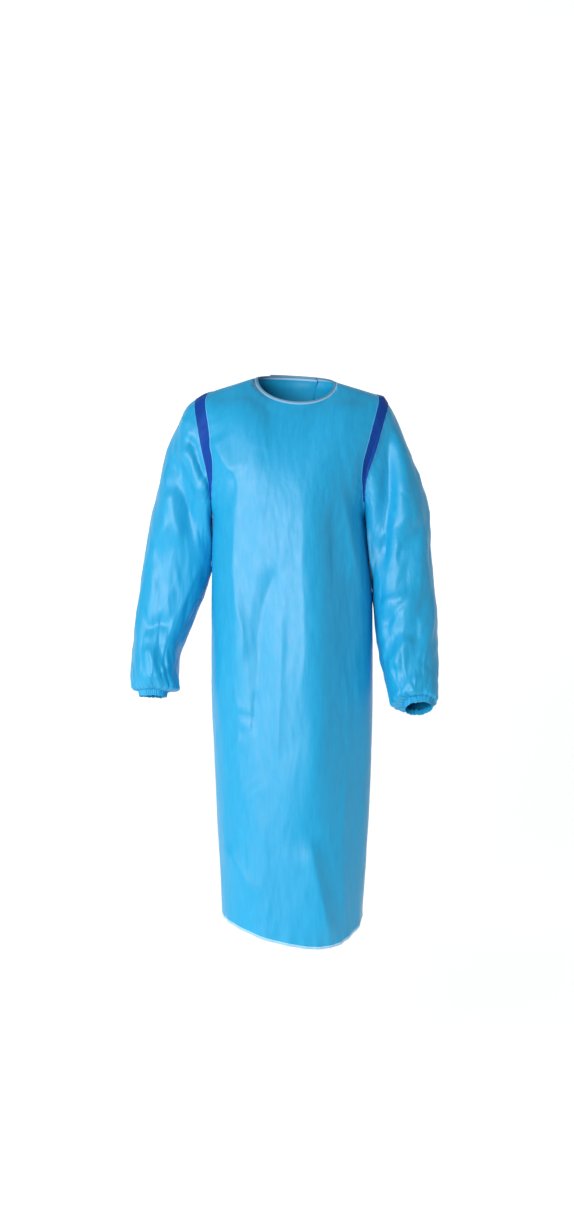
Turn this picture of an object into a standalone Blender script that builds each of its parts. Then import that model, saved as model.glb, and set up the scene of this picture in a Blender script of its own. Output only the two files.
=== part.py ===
"""Surgical gown in its worn, hollow form: cloth walls round an empty figure.

Metres, +Z up. The front faces -Y, the wearer's right is -X and the wearer's left is +X.
The origin lies between the shoulders at the base of the neck, where the wearer carries it.
Every panel is a grid of points on the middle of its cloth, worked out from the tables
below, and the wall is laid to both sides of that grid.
"""
import math

import bpy
import numpy as np

# ---- cloth and seams ---------------------------------------------------------------
WALL = 0.0015            # cloth wall
SEAM_GAP = 0.0003        # air between two pieces at their seam
MOST_TURN = 2.2          # a seam's edges give way to its fold up to this tangent
UNDERARM_STEP = 0.0022   # under the arm the sleeve lies beside the trunk, this far out
LAP_RISE = 0.0038        # how far the upper back panel lies over the lower one
LAP_RUN = (0.30, 0.24)   # in w: where it begins to rise beside the lower one's edge, and over how much
ROUNDNESS = 2.5          # exponent of the trunk's sections, 2 is an ellipse

# ---- trunk sections, bottom to top ---------------------------------------------------
TRUNK_COLUMNS = ("height", "right_side", "left_side", "front", "back")
TRUNK = np.array((
    (-1.100, -0.1350, 0.1290, 0.1130, 0.1140),
    (-1.020, -0.1390, 0.1330, 0.1150, 0.1160),
    (-0.945, -0.1430, 0.1385, 0.1165, 0.1175),
    (-0.870, -0.1475, 0.1430, 0.1175, 0.1185),
    (-0.770, -0.1525, 0.1480, 0.1190, 0.1200),
    (-0.700, -0.1555, 0.1510, 0.1200, 0.1210),
    (-0.620, -0.1590, 0.1530, 0.1205, 0.1215),
    (-0.500, -0.1605, 0.1530, 0.1205, 0.1215),
    (-0.400, -0.1600, 0.1510, 0.1200, 0.1215),
    (-0.330, -0.1585, 0.1440, 0.1190, 0.1215),
    (-0.265, -0.1580, 0.1390, 0.1170, 0.1205),
    (-0.200, -0.1610, 0.1400, 0.1130, 0.1180),
    (-0.145, -0.1700, 0.1480, 0.1060, 0.1130),
    (-0.080, -0.1760, 0.1600, 0.0960, 0.1050),
))

# ---- neck, shoulders and hem ---------------------------------------------------------
NECK_X = 0.004
NECK_HALF_WIDTH = 0.082
NECK_Y = 0.010
NECK_FRONT_REACH = 0.070   # the front neckline lies this far before the neck points
NECK_BACK_REACH = 0.064
NECK_FRONT_DROP = 0.0445
NECK_BACK_RISE = 0.010
NECK_RIGHT_Z = 0.0075
NECK_LEFT_Z = -0.0010
NECK_SHARE = 0.46          # share of a panel's top that is neckline
NECK_SLOPE_START = 0.22    # how far round the cloth already slopes at the neckline
YOKE_DROP = 0.135          # the shoulders round over into the chest within this height
UNDERARM_DIP = 0.030       # the row from underarm to underarm hangs this much lower between them
BINDING_WIDTH = 0.0080
BINDING_WALL = 0.0021
HEM_COLUMNS = ("angle", "height")
HEM = np.array((
    (-90, -1.034), (-67, -1.0405), (-45, -1.0535), (-25, -1.0685), (-8, -1.0768), (31, -1.0855),
    (47, -1.0810), (63, -1.068), (90, -1.041), (135, -1.052), (180, -1.060), (225, -1.050), (270, -1.039),
))
# the back panels' free edges, in degrees off the middle of the back, from the neck to the hem:
# the right panel lies under the left one
LAP_COLUMNS = ("share_down", "under_edge", "over_edge")
LAP = np.array(((0.0, 14.0, -17.5), (0.545, 20.0, -24.0), (1.0, 39.0, -44.0)))

# ---- sleeves: rings from the armhole to the wrist -------------------------------------
# outer and inner are the ring's two side points, y its middle, depth its half depth,
# lean turns the ring's front edge up, in degrees
SLEEVE_COLUMNS = ("outer_x", "outer_z", "inner_x", "inner_z", "y", "depth", "lean")
SLEEVE_RIGHT = np.array((
    (-0.1700, -0.0245, -0.1583, -0.2650, 0.008, 0.070, 0),
    (-0.2015, -0.0475, -0.1590, -0.2790, 0.012, 0.072, 0),
    (-0.2255, -0.0835, -0.1585, -0.2950, 0.018, 0.072, 0),
    (-0.2475, -0.1301, -0.1575, -0.3130, 0.026, 0.070, 0),
    (-0.2638, -0.1924, -0.1570, -0.3320, 0.034, 0.068, 0),
    (-0.2800, -0.2669, -0.1590, -0.3560, 0.040, 0.065, 0),
    (-0.2940, -0.3379, -0.1690, -0.3870, 0.042, 0.061, 2),
    (-0.3037, -0.4050, -0.1833, -0.4307, 0.040, 0.057, 5),
    (-0.3110, -0.4681, -0.2037, -0.4800, 0.034, 0.053, 8),
    (-0.3164, -0.5232, -0.2240, -0.5271, 0.028, 0.049, 8),
    (-0.3194, -0.5640, -0.2262, -0.5680, 0.024, 0.047, 8),
    (-0.3185, -0.5860, -0.2250, -0.5880, 0.022, 0.045, 8),
    (-0.3165, -0.5980, -0.2260, -0.6010, 0.022, 0.039, 8),
    (-0.3050, -0.6015, -0.2480, -0.6035, 0.022, 0.028, 8),
))
SLEEVE_LEFT = np.array((
    (0.1735, -0.0290, 0.1390, -0.2687, 0.008, 0.070, 0),
    (0.1899, -0.0571, 0.1380, -0.2830, 0.008, 0.072, 0),
    (0.2059, -0.0917, 0.1360, -0.3000, 0.007, 0.073, 0),
    (0.2261, -0.1400, 0.1340, -0.3190, 0.006, 0.072, 0),
    (0.2463, -0.1885, 0.1350, -0.3400, 0.005, 0.070, 0),
    (0.2624, -0.2513, 0.1390, -0.3650, 0.004, 0.067, 0),
    (0.2655, -0.3263, 0.1480, -0.4010, 0.001, 0.063, 4),
    (0.2721, -0.4013, 0.1535, -0.4406, -0.005, 0.059, 8),
    (0.2764, -0.4680, 0.1580, -0.4876, -0.015, 0.055, 14),
    (0.2776, -0.5223, 0.1660, -0.5320, -0.028, 0.051, 20),
    (0.2765, -0.5702, 0.1746, -0.5721, -0.043, 0.049, 26),
    (0.2745, -0.6060, 0.1841, -0.6090, -0.057, 0.046, 30),
    (0.2725, -0.6190, 0.1875, -0.6235, -0.064, 0.041, 30),
    (0.2655, -0.6205, 0.2090, -0.6240, -0.066, 0.029, 30),
))
SLEEVE_ROUNDNESS = 2.3
# how far the armhole seam stands out from its straight side, by angle from its top,
# with 90 at the front and 270 at the back
ARMHOLE_COLUMNS = ("angle", "right", "left")
ARMHOLE = np.array((
    (0, 0.000, 0.000), (40, 0.016, 0.003), (75, 0.013, -0.004), (105, 0.004, -0.013),
    (140, 0.000, -0.006), (180, 0.000, 0.000), (225, 0.001, 0.004), (270, 0.006, 0.008),
    (320, 0.014, 0.012), (360, 0.000, 0.000),
))
BULGE_FADE = 0.25          # share of the sleeve over which the armhole's shape fades out
SLEEVE_CLEAR = 0.0032      # sleeve to trunk where they come close
CLEAR_SOFTNESS = 0.003
CUFF_LENGTH = 0.012        # elastic hem at the wrist
CUFF_GRIP = 0.93           # its far edge is this much narrower
GATHER_HEIGHT = 0.0020
GATHER_START = 0.80        # share of the sleeve where the gathers begin to show

# ---- trims ---------------------------------------------------------------------------
TAPE_WIDTH = 0.028
TAPE_DRIFT = {-1: 0.010, 1: 0.004}   # how far its middle moves onto the trunk, below the shoulder
TAPE_DRIFT_ROWS = 8
TAPE_WALL = 0.0010
TRIM_LIFT = 0.0007         # air between a trim and the cloth that it lies on
TAPE_END_ROW = 13          # the tape's ends run into the fold under the arm, at 130 degrees
BINDING_SLOPE = {"front": 54, "side": 20, "back": 66}   # degrees above level
TAB_ROWS = (3, 5)          # the neck closure's tab lies between these rows of the back
TAB_REACH = 0.12           # and this far to each side of the free edge, in w
TAB_WALL = 0.0016
TIE_WIDTH = 0.024
TIE_WALL = 0.0012
TIE_V = 0.5909             # how far down the back panels the waist ties are tied
TIE_SEWN = 0.11            # length sewn to the upper back panel, in w
TIE_SIDE_W = -0.985        # the other tie starts at the side seam
KNOT_W = -0.64             # where across the back the knot is
KNOT_SIZE = 0.030          # square
KNOT_DEPTH = 0.0080
KNOT_PLEAT = 0.55          # the ties are folded this narrow where they enter the knot
TIE_END_LENGTH = 0.200     # loose ends below the knot
TIE_END_FAN = (0.040, 0.095)   # their middles off the knot's, in w, at the knot and at the end
TIE_END_FREE = 0.0012      # the loose ends hang this much further off the panel
EDGE_STEP = 0.014          # in w: a band that crosses a free edge stays up this far past it
EDGE_FALL = 0.050          # and is down on the lower panel this far past it
ACROSS_BACK = 0.215        # metres across the back for each unit of w
DOWN_SKIRT = 1.74          # metres down the skirt for each unit of v

# ---- main folds: a path of (x, z) points seen square on, its width to each side, its height
FOLD_COLUMNS = ("path", "left_width", "right_width", "height")
FRONT_FOLDS = (
    (((0.028, -0.170), (0.014, -0.270), (0.012, -0.430), (0.006, -0.626), (-0.004, -0.757),
      (-0.022, -0.960)), 0.050, 0.030, 0.0095),
    (((-0.109, -0.185), (-0.115, -0.341), (-0.108, -0.470), (-0.106, -0.620)), 0.020, 0.020, 0.0050),
    (((-0.158, -0.110), (-0.109, -0.195)), 0.022, 0.020, 0.0045),
    (((0.084, -0.180), (0.107, -0.269), (0.122, -0.333), (0.134, -0.400)), 0.022, 0.018, 0.0060),
    (((-0.030, -0.330), (-0.062, -0.400), (-0.082, -0.480), (-0.084, -0.700)), 0.020, 0.022, -0.0060),
    (((0.060, -0.240), (0.066, -0.480), (0.070, -0.800)), 0.030, 0.034, -0.0055),
    (((0.027, -0.870), (0.048, -0.980), (0.072, -1.090)), 0.034, 0.018, 0.0075),
    (((-0.130, -0.890), (-0.075, -1.000)), 0.020, 0.026, 0.0040),
)
BACK_FOLDS = (
    (((0.060, -0.150), (0.052, -0.420), (0.060, -0.700), (0.050, -0.960)), 0.034, 0.040, 0.0080),
    (((-0.050, -0.240), (-0.062, -0.520), (-0.056, -0.900), (-0.066, -1.060)), 0.036, 0.030, 0.0085),
    (((0.000, -0.360), (-0.006, -0.640), (0.004, -1.000)), 0.030, 0.030, -0.0060),
    (((0.110, -0.330), (0.118, -0.620), (0.112, -0.980)), 0.022, 0.022, -0.0045),
)
SLEEVE_RIGHT_FOLDS = (
    (((-0.212, -0.120), (-0.170, -0.235)), 0.016, 0.020, 0.0070),
    (((-0.200, -0.105), (-0.166, -0.195)), 0.012, 0.012, -0.0060),
    (((-0.232, -0.125), (-0.230, -0.195), (-0.200, -0.285)), 0.018, 0.018, -0.0060),
    (((-0.285, -0.350), (-0.225, -0.262)), 0.030, 0.026, 0.0050),
    (((-0.292, -0.490), (-0.264, -0.472), (-0.236, -0.480)), 0.016, 0.018, -0.0055),
    (((-0.288, -0.510), (-0.276, -0.545), (-0.284, -0.590)), 0.016, 0.014, 0.0050),
)
SLEEVE_LEFT_FOLDS = (
    (((0.191, -0.100), (0.193, -0.240)), 0.020, 0.024, 0.0070),
    (((0.158, -0.150), (0.156, -0.330)), 0.016, 0.020, -0.0060),
    (((0.148, -0.318), (0.200, -0.280), (0.255, -0.250)), 0.018, 0.020, 0.0055),
    (((0.166, -0.380), (0.210, -0.320), (0.255, -0.262)), 0.014, 0.014, -0.0045),
    (((0.164, -0.458), (0.214, -0.420), (0.196, -0.490)), 0.014, 0.016, 0.0060),
    (((0.186, -0.558), (0.206, -0.530), (0.224, -0.490)), 0.016, 0.018, 0.0055),
)
SLEEVE_BACK_FOLDS = {
    -1: (
        (((-0.250, -0.330), (-0.190, -0.290)), 0.020, 0.020, 0.0060),
        (((-0.290, -0.450), (-0.220, -0.420)), 0.018, 0.020, -0.0055),
        (((-0.300, -0.520), (-0.245, -0.545)), 0.016, 0.016, 0.0050),
    ),
    1: (
        (((0.240, -0.300), (0.170, -0.330)), 0.020, 0.020, 0.0060),
        (((0.262, -0.420), (0.190, -0.450)), 0.018, 0.020, -0.0055),
        (((0.262, -0.520), (0.200, -0.560)), 0.016, 0.016, 0.0050),
    ),
}

# ---- how finely the grids are divided ------------------------------------------------------
YOKE_ROWS = 18             # top line to underarm, one for each 10 degrees of the armhole
SKIRT_ROWS = 15            # underarm to hem
SHOULDER_STEPS = 6         # columns from a side edge to the neck point
NECK_STEPS = 10            # columns across the front neckline
LAP_STEPS = 7              # columns from a neck point to a back panel's free edge
SLEEVE_ROWS = 14
CUFF_ROWS = 2

# ---- colours, sRGB 0 to 1 ------------------------------------------------------------------
CLOTH_BLUE = (0.247, 0.682, 0.886)
TAPE_BLUE = (0.106, 0.302, 0.659)
BINDING_BLUE = (0.486, 0.769, 0.949)


# ==== arithmetic ===============================================================================
def smooth(knots, values, at):
    """Cubic curve through a table's values, each slope taken from the neighbours."""
    k = np.asarray(knots, float)
    v = np.asarray(values, float)
    slope = np.gradient(v, k, axis=0)
    at = np.clip(np.asarray(at, float), k[0], k[-1])
    i = np.clip(np.searchsorted(k, at, side="right") - 1, 0, len(k) - 2)
    h = k[i + 1] - k[i]
    t = (at - k[i]) / h
    if v.ndim > 1:
        h = h[..., None]
        t = t[..., None]
    a = v[i] * (1 + 2 * t) * (1 - t) ** 2 + v[i + 1] * t * t * (3 - 2 * t)
    return a + h * (slope[i] * t * (1 - t) ** 2 - slope[i + 1] * t * t * (1 - t))


def ease(t):
    """0 to 1 with level ends."""
    t = np.clip(t, 0, 1)
    return t * t * (3 - 2 * t)


def unit(v):
    """Vectors of length 1."""
    return v / np.maximum(np.linalg.norm(v, axis=-1, keepdims=True), 1e-12)


def mix(a, b, share):
    """a at share 0, b at share 1."""
    return a + (b - a) * share


def normals(grid, closed=False):
    """Outward normals of a grid whose rows run down and whose columns run rightwards, seen
    from outside; a closed grid's last column meets its first."""
    if closed:
        wide = np.concatenate((grid[:, -1:], grid, grid[:, :1]), 1)
        across = np.gradient(wide, axis=1)[:, 1:-1]
    else:
        across = np.gradient(grid, axis=1)
    return unit(np.cross(np.gradient(grid, axis=0), across))


def fold_height(grid, normal, folds, facing):
    """How far a set of folds moves each point out. Each fold is a soft ridge or trough along
    its path, seen along Y, that fades at its ends and where the cloth turns from that view;
    facing is -1 for folds on the front and 1 for folds on the back."""
    x, z = grid[..., 0], grid[..., 2]
    height = np.zeros_like(x)
    for path, left_width, right_width, rise in folds:
        knots = np.arange(len(path))
        line = smooth(knots, path, np.linspace(0, len(path) - 1, 4 * len(path)))
        start, step = line[:-1], np.diff(line, axis=0)
        dx = x[..., None] - start[:, 0]
        dz = z[..., None] - start[:, 1]
        t = np.clip((dx * step[:, 0] + dz * step[:, 1]) / (step ** 2).sum(1), 0, 1)
        gap = np.hypot(dx - t * step[:, 0], dz - t * step[:, 1])
        nearest = gap.argmin(-1)[..., None]
        gap = np.take_along_axis(gap, nearest, -1)[..., 0]
        side = np.take_along_axis(step[:, 0] * dz - step[:, 1] * dx, nearest, -1)[..., 0]
        along = (nearest + np.take_along_axis(t, nearest, -1))[..., 0] / len(step)
        width = np.where(side > 0, right_width, left_width)
        ends = ease(along / 0.25) * ease((1 - along) / 0.25)
        height += rise * np.exp(-(gap / width) ** 2) * ends
    return height * ease(facing * normal[..., 1] / 0.6)


# ==== the gown's surfaces ======================================================================
def section(height):
    """Middle x, half width, front depth and back depth of the trunk at a height."""
    row = smooth(TRUNK[:, 0], TRUNK[:, 1:], height)
    right, left = row[..., 0], row[..., 1]
    return (right + left) / 2, (left - right) / 2, row[..., 2], row[..., 3]


def trunk_point(angle, height):
    """Point of the trunk: angle 0 is the front, -90 the wearer's right, 180 the back."""
    middle, half, front, back = section(height)
    s, c = np.sin(np.radians(angle)), np.cos(np.radians(angle))
    depth = np.where(c > 0, front, back)
    r = (np.abs(s / half) ** ROUNDNESS + np.abs(c / depth) ** ROUNDNESS) ** (-1 / ROUNDNESS)
    return np.stack(np.broadcast_arrays(middle + r * s, -r * c, height), -1)


def sleeve_ring(side, s, phi):
    """Point of a sleeve: s from 0 at the armhole to 1 at the wrist, phi from the outer point
    with 90 at the front. A superellipse between the ring's side points."""
    table = SLEEVE_RIGHT if side < 0 else SLEEVE_LEFT
    row = smooth(np.linspace(0, 1, len(table)), table, s)
    outer = np.stack((row[..., 0], row[..., 4], row[..., 1]), -1)
    inner = np.stack((row[..., 2], row[..., 4], row[..., 3]), -1)
    lean = np.radians(row[..., 6])
    front = np.stack((0 * lean, -np.cos(lean), np.sin(lean)), -1)
    c, n = np.cos(np.radians(phi)), np.sin(np.radians(phi))
    r = (np.abs(c) ** SLEEVE_ROUNDNESS + np.abs(n) ** SLEEVE_ROUNDNESS) ** (-1 / SLEEVE_ROUNDNESS)
    across = (outer - inner) / 2 * (r * c)[..., None]
    return (outer + inner) / 2 + across + front * (r * n * row[..., 5])[..., None]


def armhole_bulge(side, phi):
    """The armhole seam's x beyond its straight side, at an angle."""
    column = ARMHOLE_COLUMNS.index("right" if side < 0 else "left")
    return side * smooth(ARMHOLE[:, 0], ARMHOLE[:, column], np.mod(phi, 360))


def armhole_point(side, phi):
    """Point of the armhole seam, side -1 for the wearer's right and 1 for the left."""
    phi = np.asarray(phi, float)
    point = sleeve_ring(side, 0 * phi, phi)
    point[..., 0] += armhole_bulge(side, phi)
    return point


def top_line(w, front):
    """Top line of the front or back from one shoulder point (w -1) to the other (w 1):
    straight shoulder seams with half an ellipse of neckline between them."""
    alpha = np.clip(w / NECK_SHARE, -1, 1) * math.pi / 2
    base = mix(NECK_RIGHT_Z, NECK_LEFT_Z, (1 + np.sin(alpha)) / 2)
    reach = -NECK_FRONT_REACH if front else NECK_BACK_REACH
    rise = -NECK_FRONT_DROP if front else NECK_BACK_RISE
    x = NECK_X + NECK_HALF_WIDTH * np.sin(alpha)
    neck = np.stack((x, NECK_Y + reach * np.cos(alpha), base + rise * np.cos(alpha)), -1)
    share = np.clip((np.abs(w) - NECK_SHARE) / (1 - NECK_SHARE), 0, 1)[..., None]
    tip = np.where((w < 0)[..., None], armhole_point(-1, 0), armhole_point(1, 0))
    return mix(neck, tip, share)


def side_angle_at(side, tau, front):
    """How far round a trunk panel's side edge lies, in degrees from the front."""
    seam = armhole_point(side, 180 * tau * (1 if front else -1))
    off_middle = np.abs(seam[..., 0] - section(seam[..., 2])[0])
    return np.degrees(np.arctan2(off_middle, -seam[..., 1]))


def yoke_point(w, tau, front):
    """Point above the underarm, without the armhole: a column rounds over from the top line
    (tau 0) and comes down to the underarm's level (tau 1)."""
    side_angle = np.where(w < 0, side_angle_at(-1, tau, front), side_angle_at(1, tau, front))
    angle = w * side_angle if front else 180 - w * (180 - side_angle)
    top = top_line(w, front)
    low = underarm_level(w)
    evenness = 0.55 * (1 - w * w)
    fall = mix((1 - np.cos(math.pi * tau)) / 2, tau, evenness)
    level = mix(top[..., 2], low, fall)
    begin = NECK_SLOPE_START * np.cos(np.clip(w / NECK_SHARE, -1, 1) * math.pi / 2)
    round_over = mix(begin, 1, np.clip((top[..., 2] - level) / YOKE_DROP, 0, 1))
    first = np.sqrt(1 - (1 - begin) ** 2)
    out = (np.sqrt(np.maximum(1 - (1 - round_over) ** 2, 0)) - first) / (1 - first)
    point = trunk_point(angle, level)
    point[..., :2] = mix(top[..., :2], point[..., :2], out[..., None])
    return point, angle


def underarm_level(w):
    """Height of the row that runs from underarm to underarm, lower between them so that the
    rows fan out round the armholes' lowest points."""
    straight = mix(armhole_point(-1, 180)[2], armhole_point(1, 180)[2], (1 + w) / 2)
    return straight - UNDERARM_DIP * np.sqrt(np.maximum(1 - np.abs(w), 0))


def trunk_surface(w, v, front):
    """Middle of the trunk's cloth. w runs from the wearer's right (-1) to the left (1), v from
    the top line (0) past the underarm to the hem (1). The side edges are the armholes down to
    the underarm, and the side seams below it."""
    w, v = np.broadcast_arrays(w, v)
    yoke = YOKE_ROWS / (YOKE_ROWS + SKIRT_ROWS)
    tau = np.clip(v / yoke, 0, 1)
    down = np.clip((v - yoke) / (1 - yoke), 0, 1)
    point, angle = yoke_point(w, tau, front)
    low = underarm_level(w)
    hem = smooth(HEM[:, 0], HEM[:, 1], angle)
    skirt = trunk_point(angle, mix(low, hem, down))
    point = np.where((down > 0)[..., None], skirt, point)
    for side in (-1, 1):
        seam = armhole_point(side, 180 * tau * (1 if front else -1))
        missed = seam - yoke_point(np.full_like(tau, side), tau, front)[0]
        near = ease(np.clip(side * w, 0, 1)) * (1 - ease(down * 5))
        point = point + missed * near[..., None]
    return point


def clear_of_trunk(side, point, s):
    """Moves a sleeve's points out to a little way off the trunk's side, softly."""
    middle, half, front, back = section(point[..., 2])
    share = np.clip(np.abs(point[..., 1]) / np.where(point[..., 1] < 0, front, back), 0, 0.97)
    limit = half * (1 - share ** ROUNDNESS) ** (1 / ROUNDNESS) + SLEEVE_CLEAR * ease(s / 0.09)
    reach = side * (point[..., 0] - middle)
    clear = (reach + limit + np.sqrt((reach - limit) ** 2 + CLEAR_SOFTNESS ** 2)) / 2
    moved = point.copy()
    moved[..., 0] = middle + side * mix(reach, clear, ease(s / 0.06))
    return moved


def sleeve_surface(side, s, phi):
    """Middle of a sleeve's cloth, without its folds."""
    s, phi = np.broadcast_arrays(s, phi)
    point = sleeve_ring(side, s, phi)
    point[..., 0] += armhole_bulge(side, phi) * (1 - ease(s / BULGE_FADE))
    off_bottom = np.abs(np.mod(phi, 360) - 180)
    point[..., 0] += side * UNDERARM_STEP * ease((70 - off_bottom) / 50) * (1 - ease(s / 0.12))
    return clear_of_trunk(side, point, s)


# ==== grids of each panel ========================================================================
def front_columns():
    """w of the front's columns, with one at each neck point."""
    neck = np.linspace(-NECK_SHARE, NECK_SHARE, NECK_STEPS + 1)
    outer = np.linspace(NECK_SHARE, 1, SHOULDER_STEPS + 1)[1:]
    return np.concatenate((-outer[::-1], neck, outer))


def rows():
    """v of the trunk panels' rows."""
    return np.linspace(0, 1, YOKE_ROWS + SKIRT_ROWS + 1)[:, None]


def front_grid():
    """Front panel with its folds."""
    grid = trunk_surface(front_columns()[None, :], rows(), True)
    normal = normals(grid)
    return grid + normal * fold_height(grid, normal, FRONT_FOLDS, -1)[..., None]


def free_edge(side, v):
    """w of a back panel's free edge: an even line down the back."""
    angle = np.interp(v, LAP[:, 0], LAP[:, LAP_COLUMNS.index("under_edge" if side < 0 else "over_edge")])
    tau = np.clip(v * (YOKE_ROWS + SKIRT_ROWS) / YOKE_ROWS, 0, 1)
    return angle / (180 - side_angle_at(-side, tau, False))


def back_columns(side, v):
    """w of a back panel's columns: from its side edge to its neck point, then to its free edge."""
    edge = free_edge(side, v)
    shoulder = side * np.linspace(1, NECK_SHARE, SHOULDER_STEPS + 1)[None, :-1] + 0 * v
    lap = mix(side * NECK_SHARE, edge, np.linspace(0, 1, LAP_STEPS + 1)[None, :])
    return np.concatenate((shoulder, lap), 1)


def back_surface(side, w, v):
    """Middle of a back panel's cloth with its folds; the left panel rises over the right one.
    The columns run rightwards seen from behind, from the wearer's left to the right."""
    grid = trunk_surface(w, v, False)
    normal = normals(grid)
    rise = fold_height(grid, normal, BACK_FOLDS, 1)
    if side > 0:
        rise = rise + LAP_RISE * ease((free_edge(-1, v) + LAP_RUN[0] - w) / LAP_RUN[1])
    return grid + normal * rise[..., None]


def back_grid(side):
    """Back panel of one side."""
    w = back_columns(side, rows())
    if side < 0:
        w = w[:, ::-1]
    return back_surface(side, w, rows() + 0 * w)


def sleeve_grid(side):
    """A sleeve: rows run from the armhole down, columns round it, one for each step of the
    armhole, with the gathers as every other column near the wrist."""
    count = 2 * YOKE_ROWS
    phi = np.arange(count) * 360 / count
    if side > 0:
        phi = -phi
    s = np.linspace(0, 1, SLEEVE_ROWS + 1)[:, None]
    grid = sleeve_surface(side, s, phi[None, :])
    normal = normals(grid, closed=True)
    folds = SLEEVE_RIGHT_FOLDS if side < 0 else SLEEVE_LEFT_FOLDS
    rise = fold_height(grid, normal, folds, -1)
    rise = rise + fold_height(grid, normal, SLEEVE_BACK_FOLDS[side], 1)
    rise = rise * ease(s / 0.12)
    wave = np.where(np.arange(count) % 2, 1, -1)[None, :]
    gather = ease((s - GATHER_START) / (1 - GATHER_START))
    rise = rise * (1 - gather) + GATHER_HEIGHT * wave * gather
    return grid + normal * rise[..., None]


def cuff_grid(sleeve):
    """The elastic hem: carries the sleeve's last ring on along its way, a little narrower."""
    ring = sleeve[-1]
    middle = ring.mean(0)
    axis = unit(np.cross(ring[len(ring) // 4] - middle, ring[0] - middle))
    if axis[2] > 0:
        axis = -axis
    down = np.linspace(0, 1, CUFF_ROWS + 1)[:, None, None]
    return middle + (ring - middle)[None] * mix(1, CUFF_GRIP, down) + axis * CUFF_LENGTH * down


def armhole_station(side, column):
    """The armhole's station for a sleeve's column: steps from its top, forward above zero."""
    count = 2 * YOKE_ROWS
    return -side * (np.mod(column + YOKE_ROWS, count) - YOKE_ROWS)


def armhole_column(side, station):
    """The sleeve's column at an armhole's station."""
    return np.mod(-side * station, 2 * YOKE_ROWS)


# ==== from grids to solids ========================================================================
def seam_room(normal, mate, wall):
    """How far a piece's edge stops from its seam: half the gap, and more where the other
    piece's cloth, with the normal mate, turns off at an angle."""
    level = (normal * mate).sum(-1)
    tangent = np.sqrt((1 - level) / np.maximum(1 + level, 1e-6))
    return SEAM_GAP / 2 + wall / 2 * np.minimum(tangent, MOST_TURN)


def drawn_back(line, normal, room, turn, closed=False):
    """An edge moved along its cloth, square to its own run. turn is 1 on edges whose cloth lies
    to the left of their run, seen from outside, and -1 where it lies to the right."""
    if closed:
        run = np.roll(line, -1, 0) - np.roll(line, 1, 0)
    else:
        run = np.gradient(line, axis=0)
    return line + turn * unit(np.cross(normal, run)) * np.reshape(room, (-1, 1))


def add_solid(name, points, faces, material):
    """A named object from points and faces."""
    mesh = bpy.data.meshes.new(name)
    mesh.from_pydata(points.tolist(), [], faces)
    mesh.materials.append(material)
    mesh.shade_smooth()
    mesh.set_sharp_from_angle(angle=math.radians(60))
    mesh.update()
    solid = bpy.data.objects.new(name, mesh)
    bpy.context.scene.collection.objects.link(solid)
    return solid


def wall(name, grid, thickness, material, closed=False, normal=None):
    """A closed solid: the grid's cloth, half its thickness to each side, with finished edges."""
    if normal is None:
        normal = normals(grid, closed)
    count_v, count_u = grid.shape[:2]
    outer = (grid + normal * thickness / 2).reshape(-1, 3)
    inner = (grid - normal * thickness / 2).reshape(-1, 3)
    points = np.concatenate((outer, inner))
    index = np.arange(count_v * count_u).reshape(count_v, count_u)
    if closed:
        index = np.concatenate((index, index[:, :1]), 1)
    under = index + count_v * count_u
    faces = []

    def strip(a, b, c, d):
        """Two triangles for each quad between four rows of point numbers."""
        quads = zip(a.ravel().tolist(), b.ravel().tolist(), c.ravel().tolist(), d.ravel().tolist())
        for p, q, r, s in quads:
            faces.append((p, q, r))
            faces.append((p, r, s))

    strip(index[:-1, :-1], index[1:, :-1], index[1:, 1:], index[:-1, 1:])
    strip(under[:-1, :-1], under[:-1, 1:], under[1:, 1:], under[1:, :-1])
    strip(index[0, :-1], index[0, 1:], under[0, 1:], under[0, :-1])
    strip(index[-1, :-1], under[-1, :-1], under[-1, 1:], index[-1, 1:])
    if not closed:
        strip(index[:-1, 0], under[:-1, 0], under[1:, 0], index[1:, 0])
        strip(index[:-1, -1], index[1:, -1], under[1:, -1], under[:-1, -1])
    return add_solid(name, points, faces, material)


def cloth_material(name, colour, roughness):
    """A plain Principled finish."""
    material = bpy.data.materials.new(name)
    material.use_nodes = True
    shader = material.node_tree.nodes["Principled BSDF"]
    linear = [c / 12.92 if c <= 0.04045 else ((c + 0.055) / 1.055) ** 2.4 for c in colour]
    shader.inputs["Base Color"].default_value = (*linear, 1)
    shader.inputs["Roughness"].default_value = roughness
    shader.inputs["Metallic"].default_value = 0
    return material


# ==== pieces =======================================================================================
class Gown:
    """The grids and normals of every large piece, up to their seam lines."""

    def __init__(self):
        self.front = front_grid()
        self.back = {-1: back_grid(-1), 1: back_grid(1)}
        self.sleeve = {-1: sleeve_grid(-1), 1: sleeve_grid(1)}
        self.cuff = {side: cuff_grid(self.sleeve[side]) for side in (-1, 1)}
        self.binding = binding_grid(self.front, self.back)
        self.front_normal = normals(self.front)
        self.back_normal = {side: normals(self.back[side]) for side in (-1, 1)}
        self.sleeve_normal = {side: normals(self.sleeve[side], True) for side in (-1, 1)}
        self.cuff_normal = {side: normals(self.cuff[side], True) for side in (-1, 1)}
        self.binding_normal = normals(self.binding)

    def trunk(self, side, in_front):
        """Grid, normals and side column of the front or of one back panel."""
        if in_front:
            return self.front, self.front_normal, 0 if side < 0 else -1
        return self.back[side], self.back_normal[side], -1 if side < 0 else 0


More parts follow.
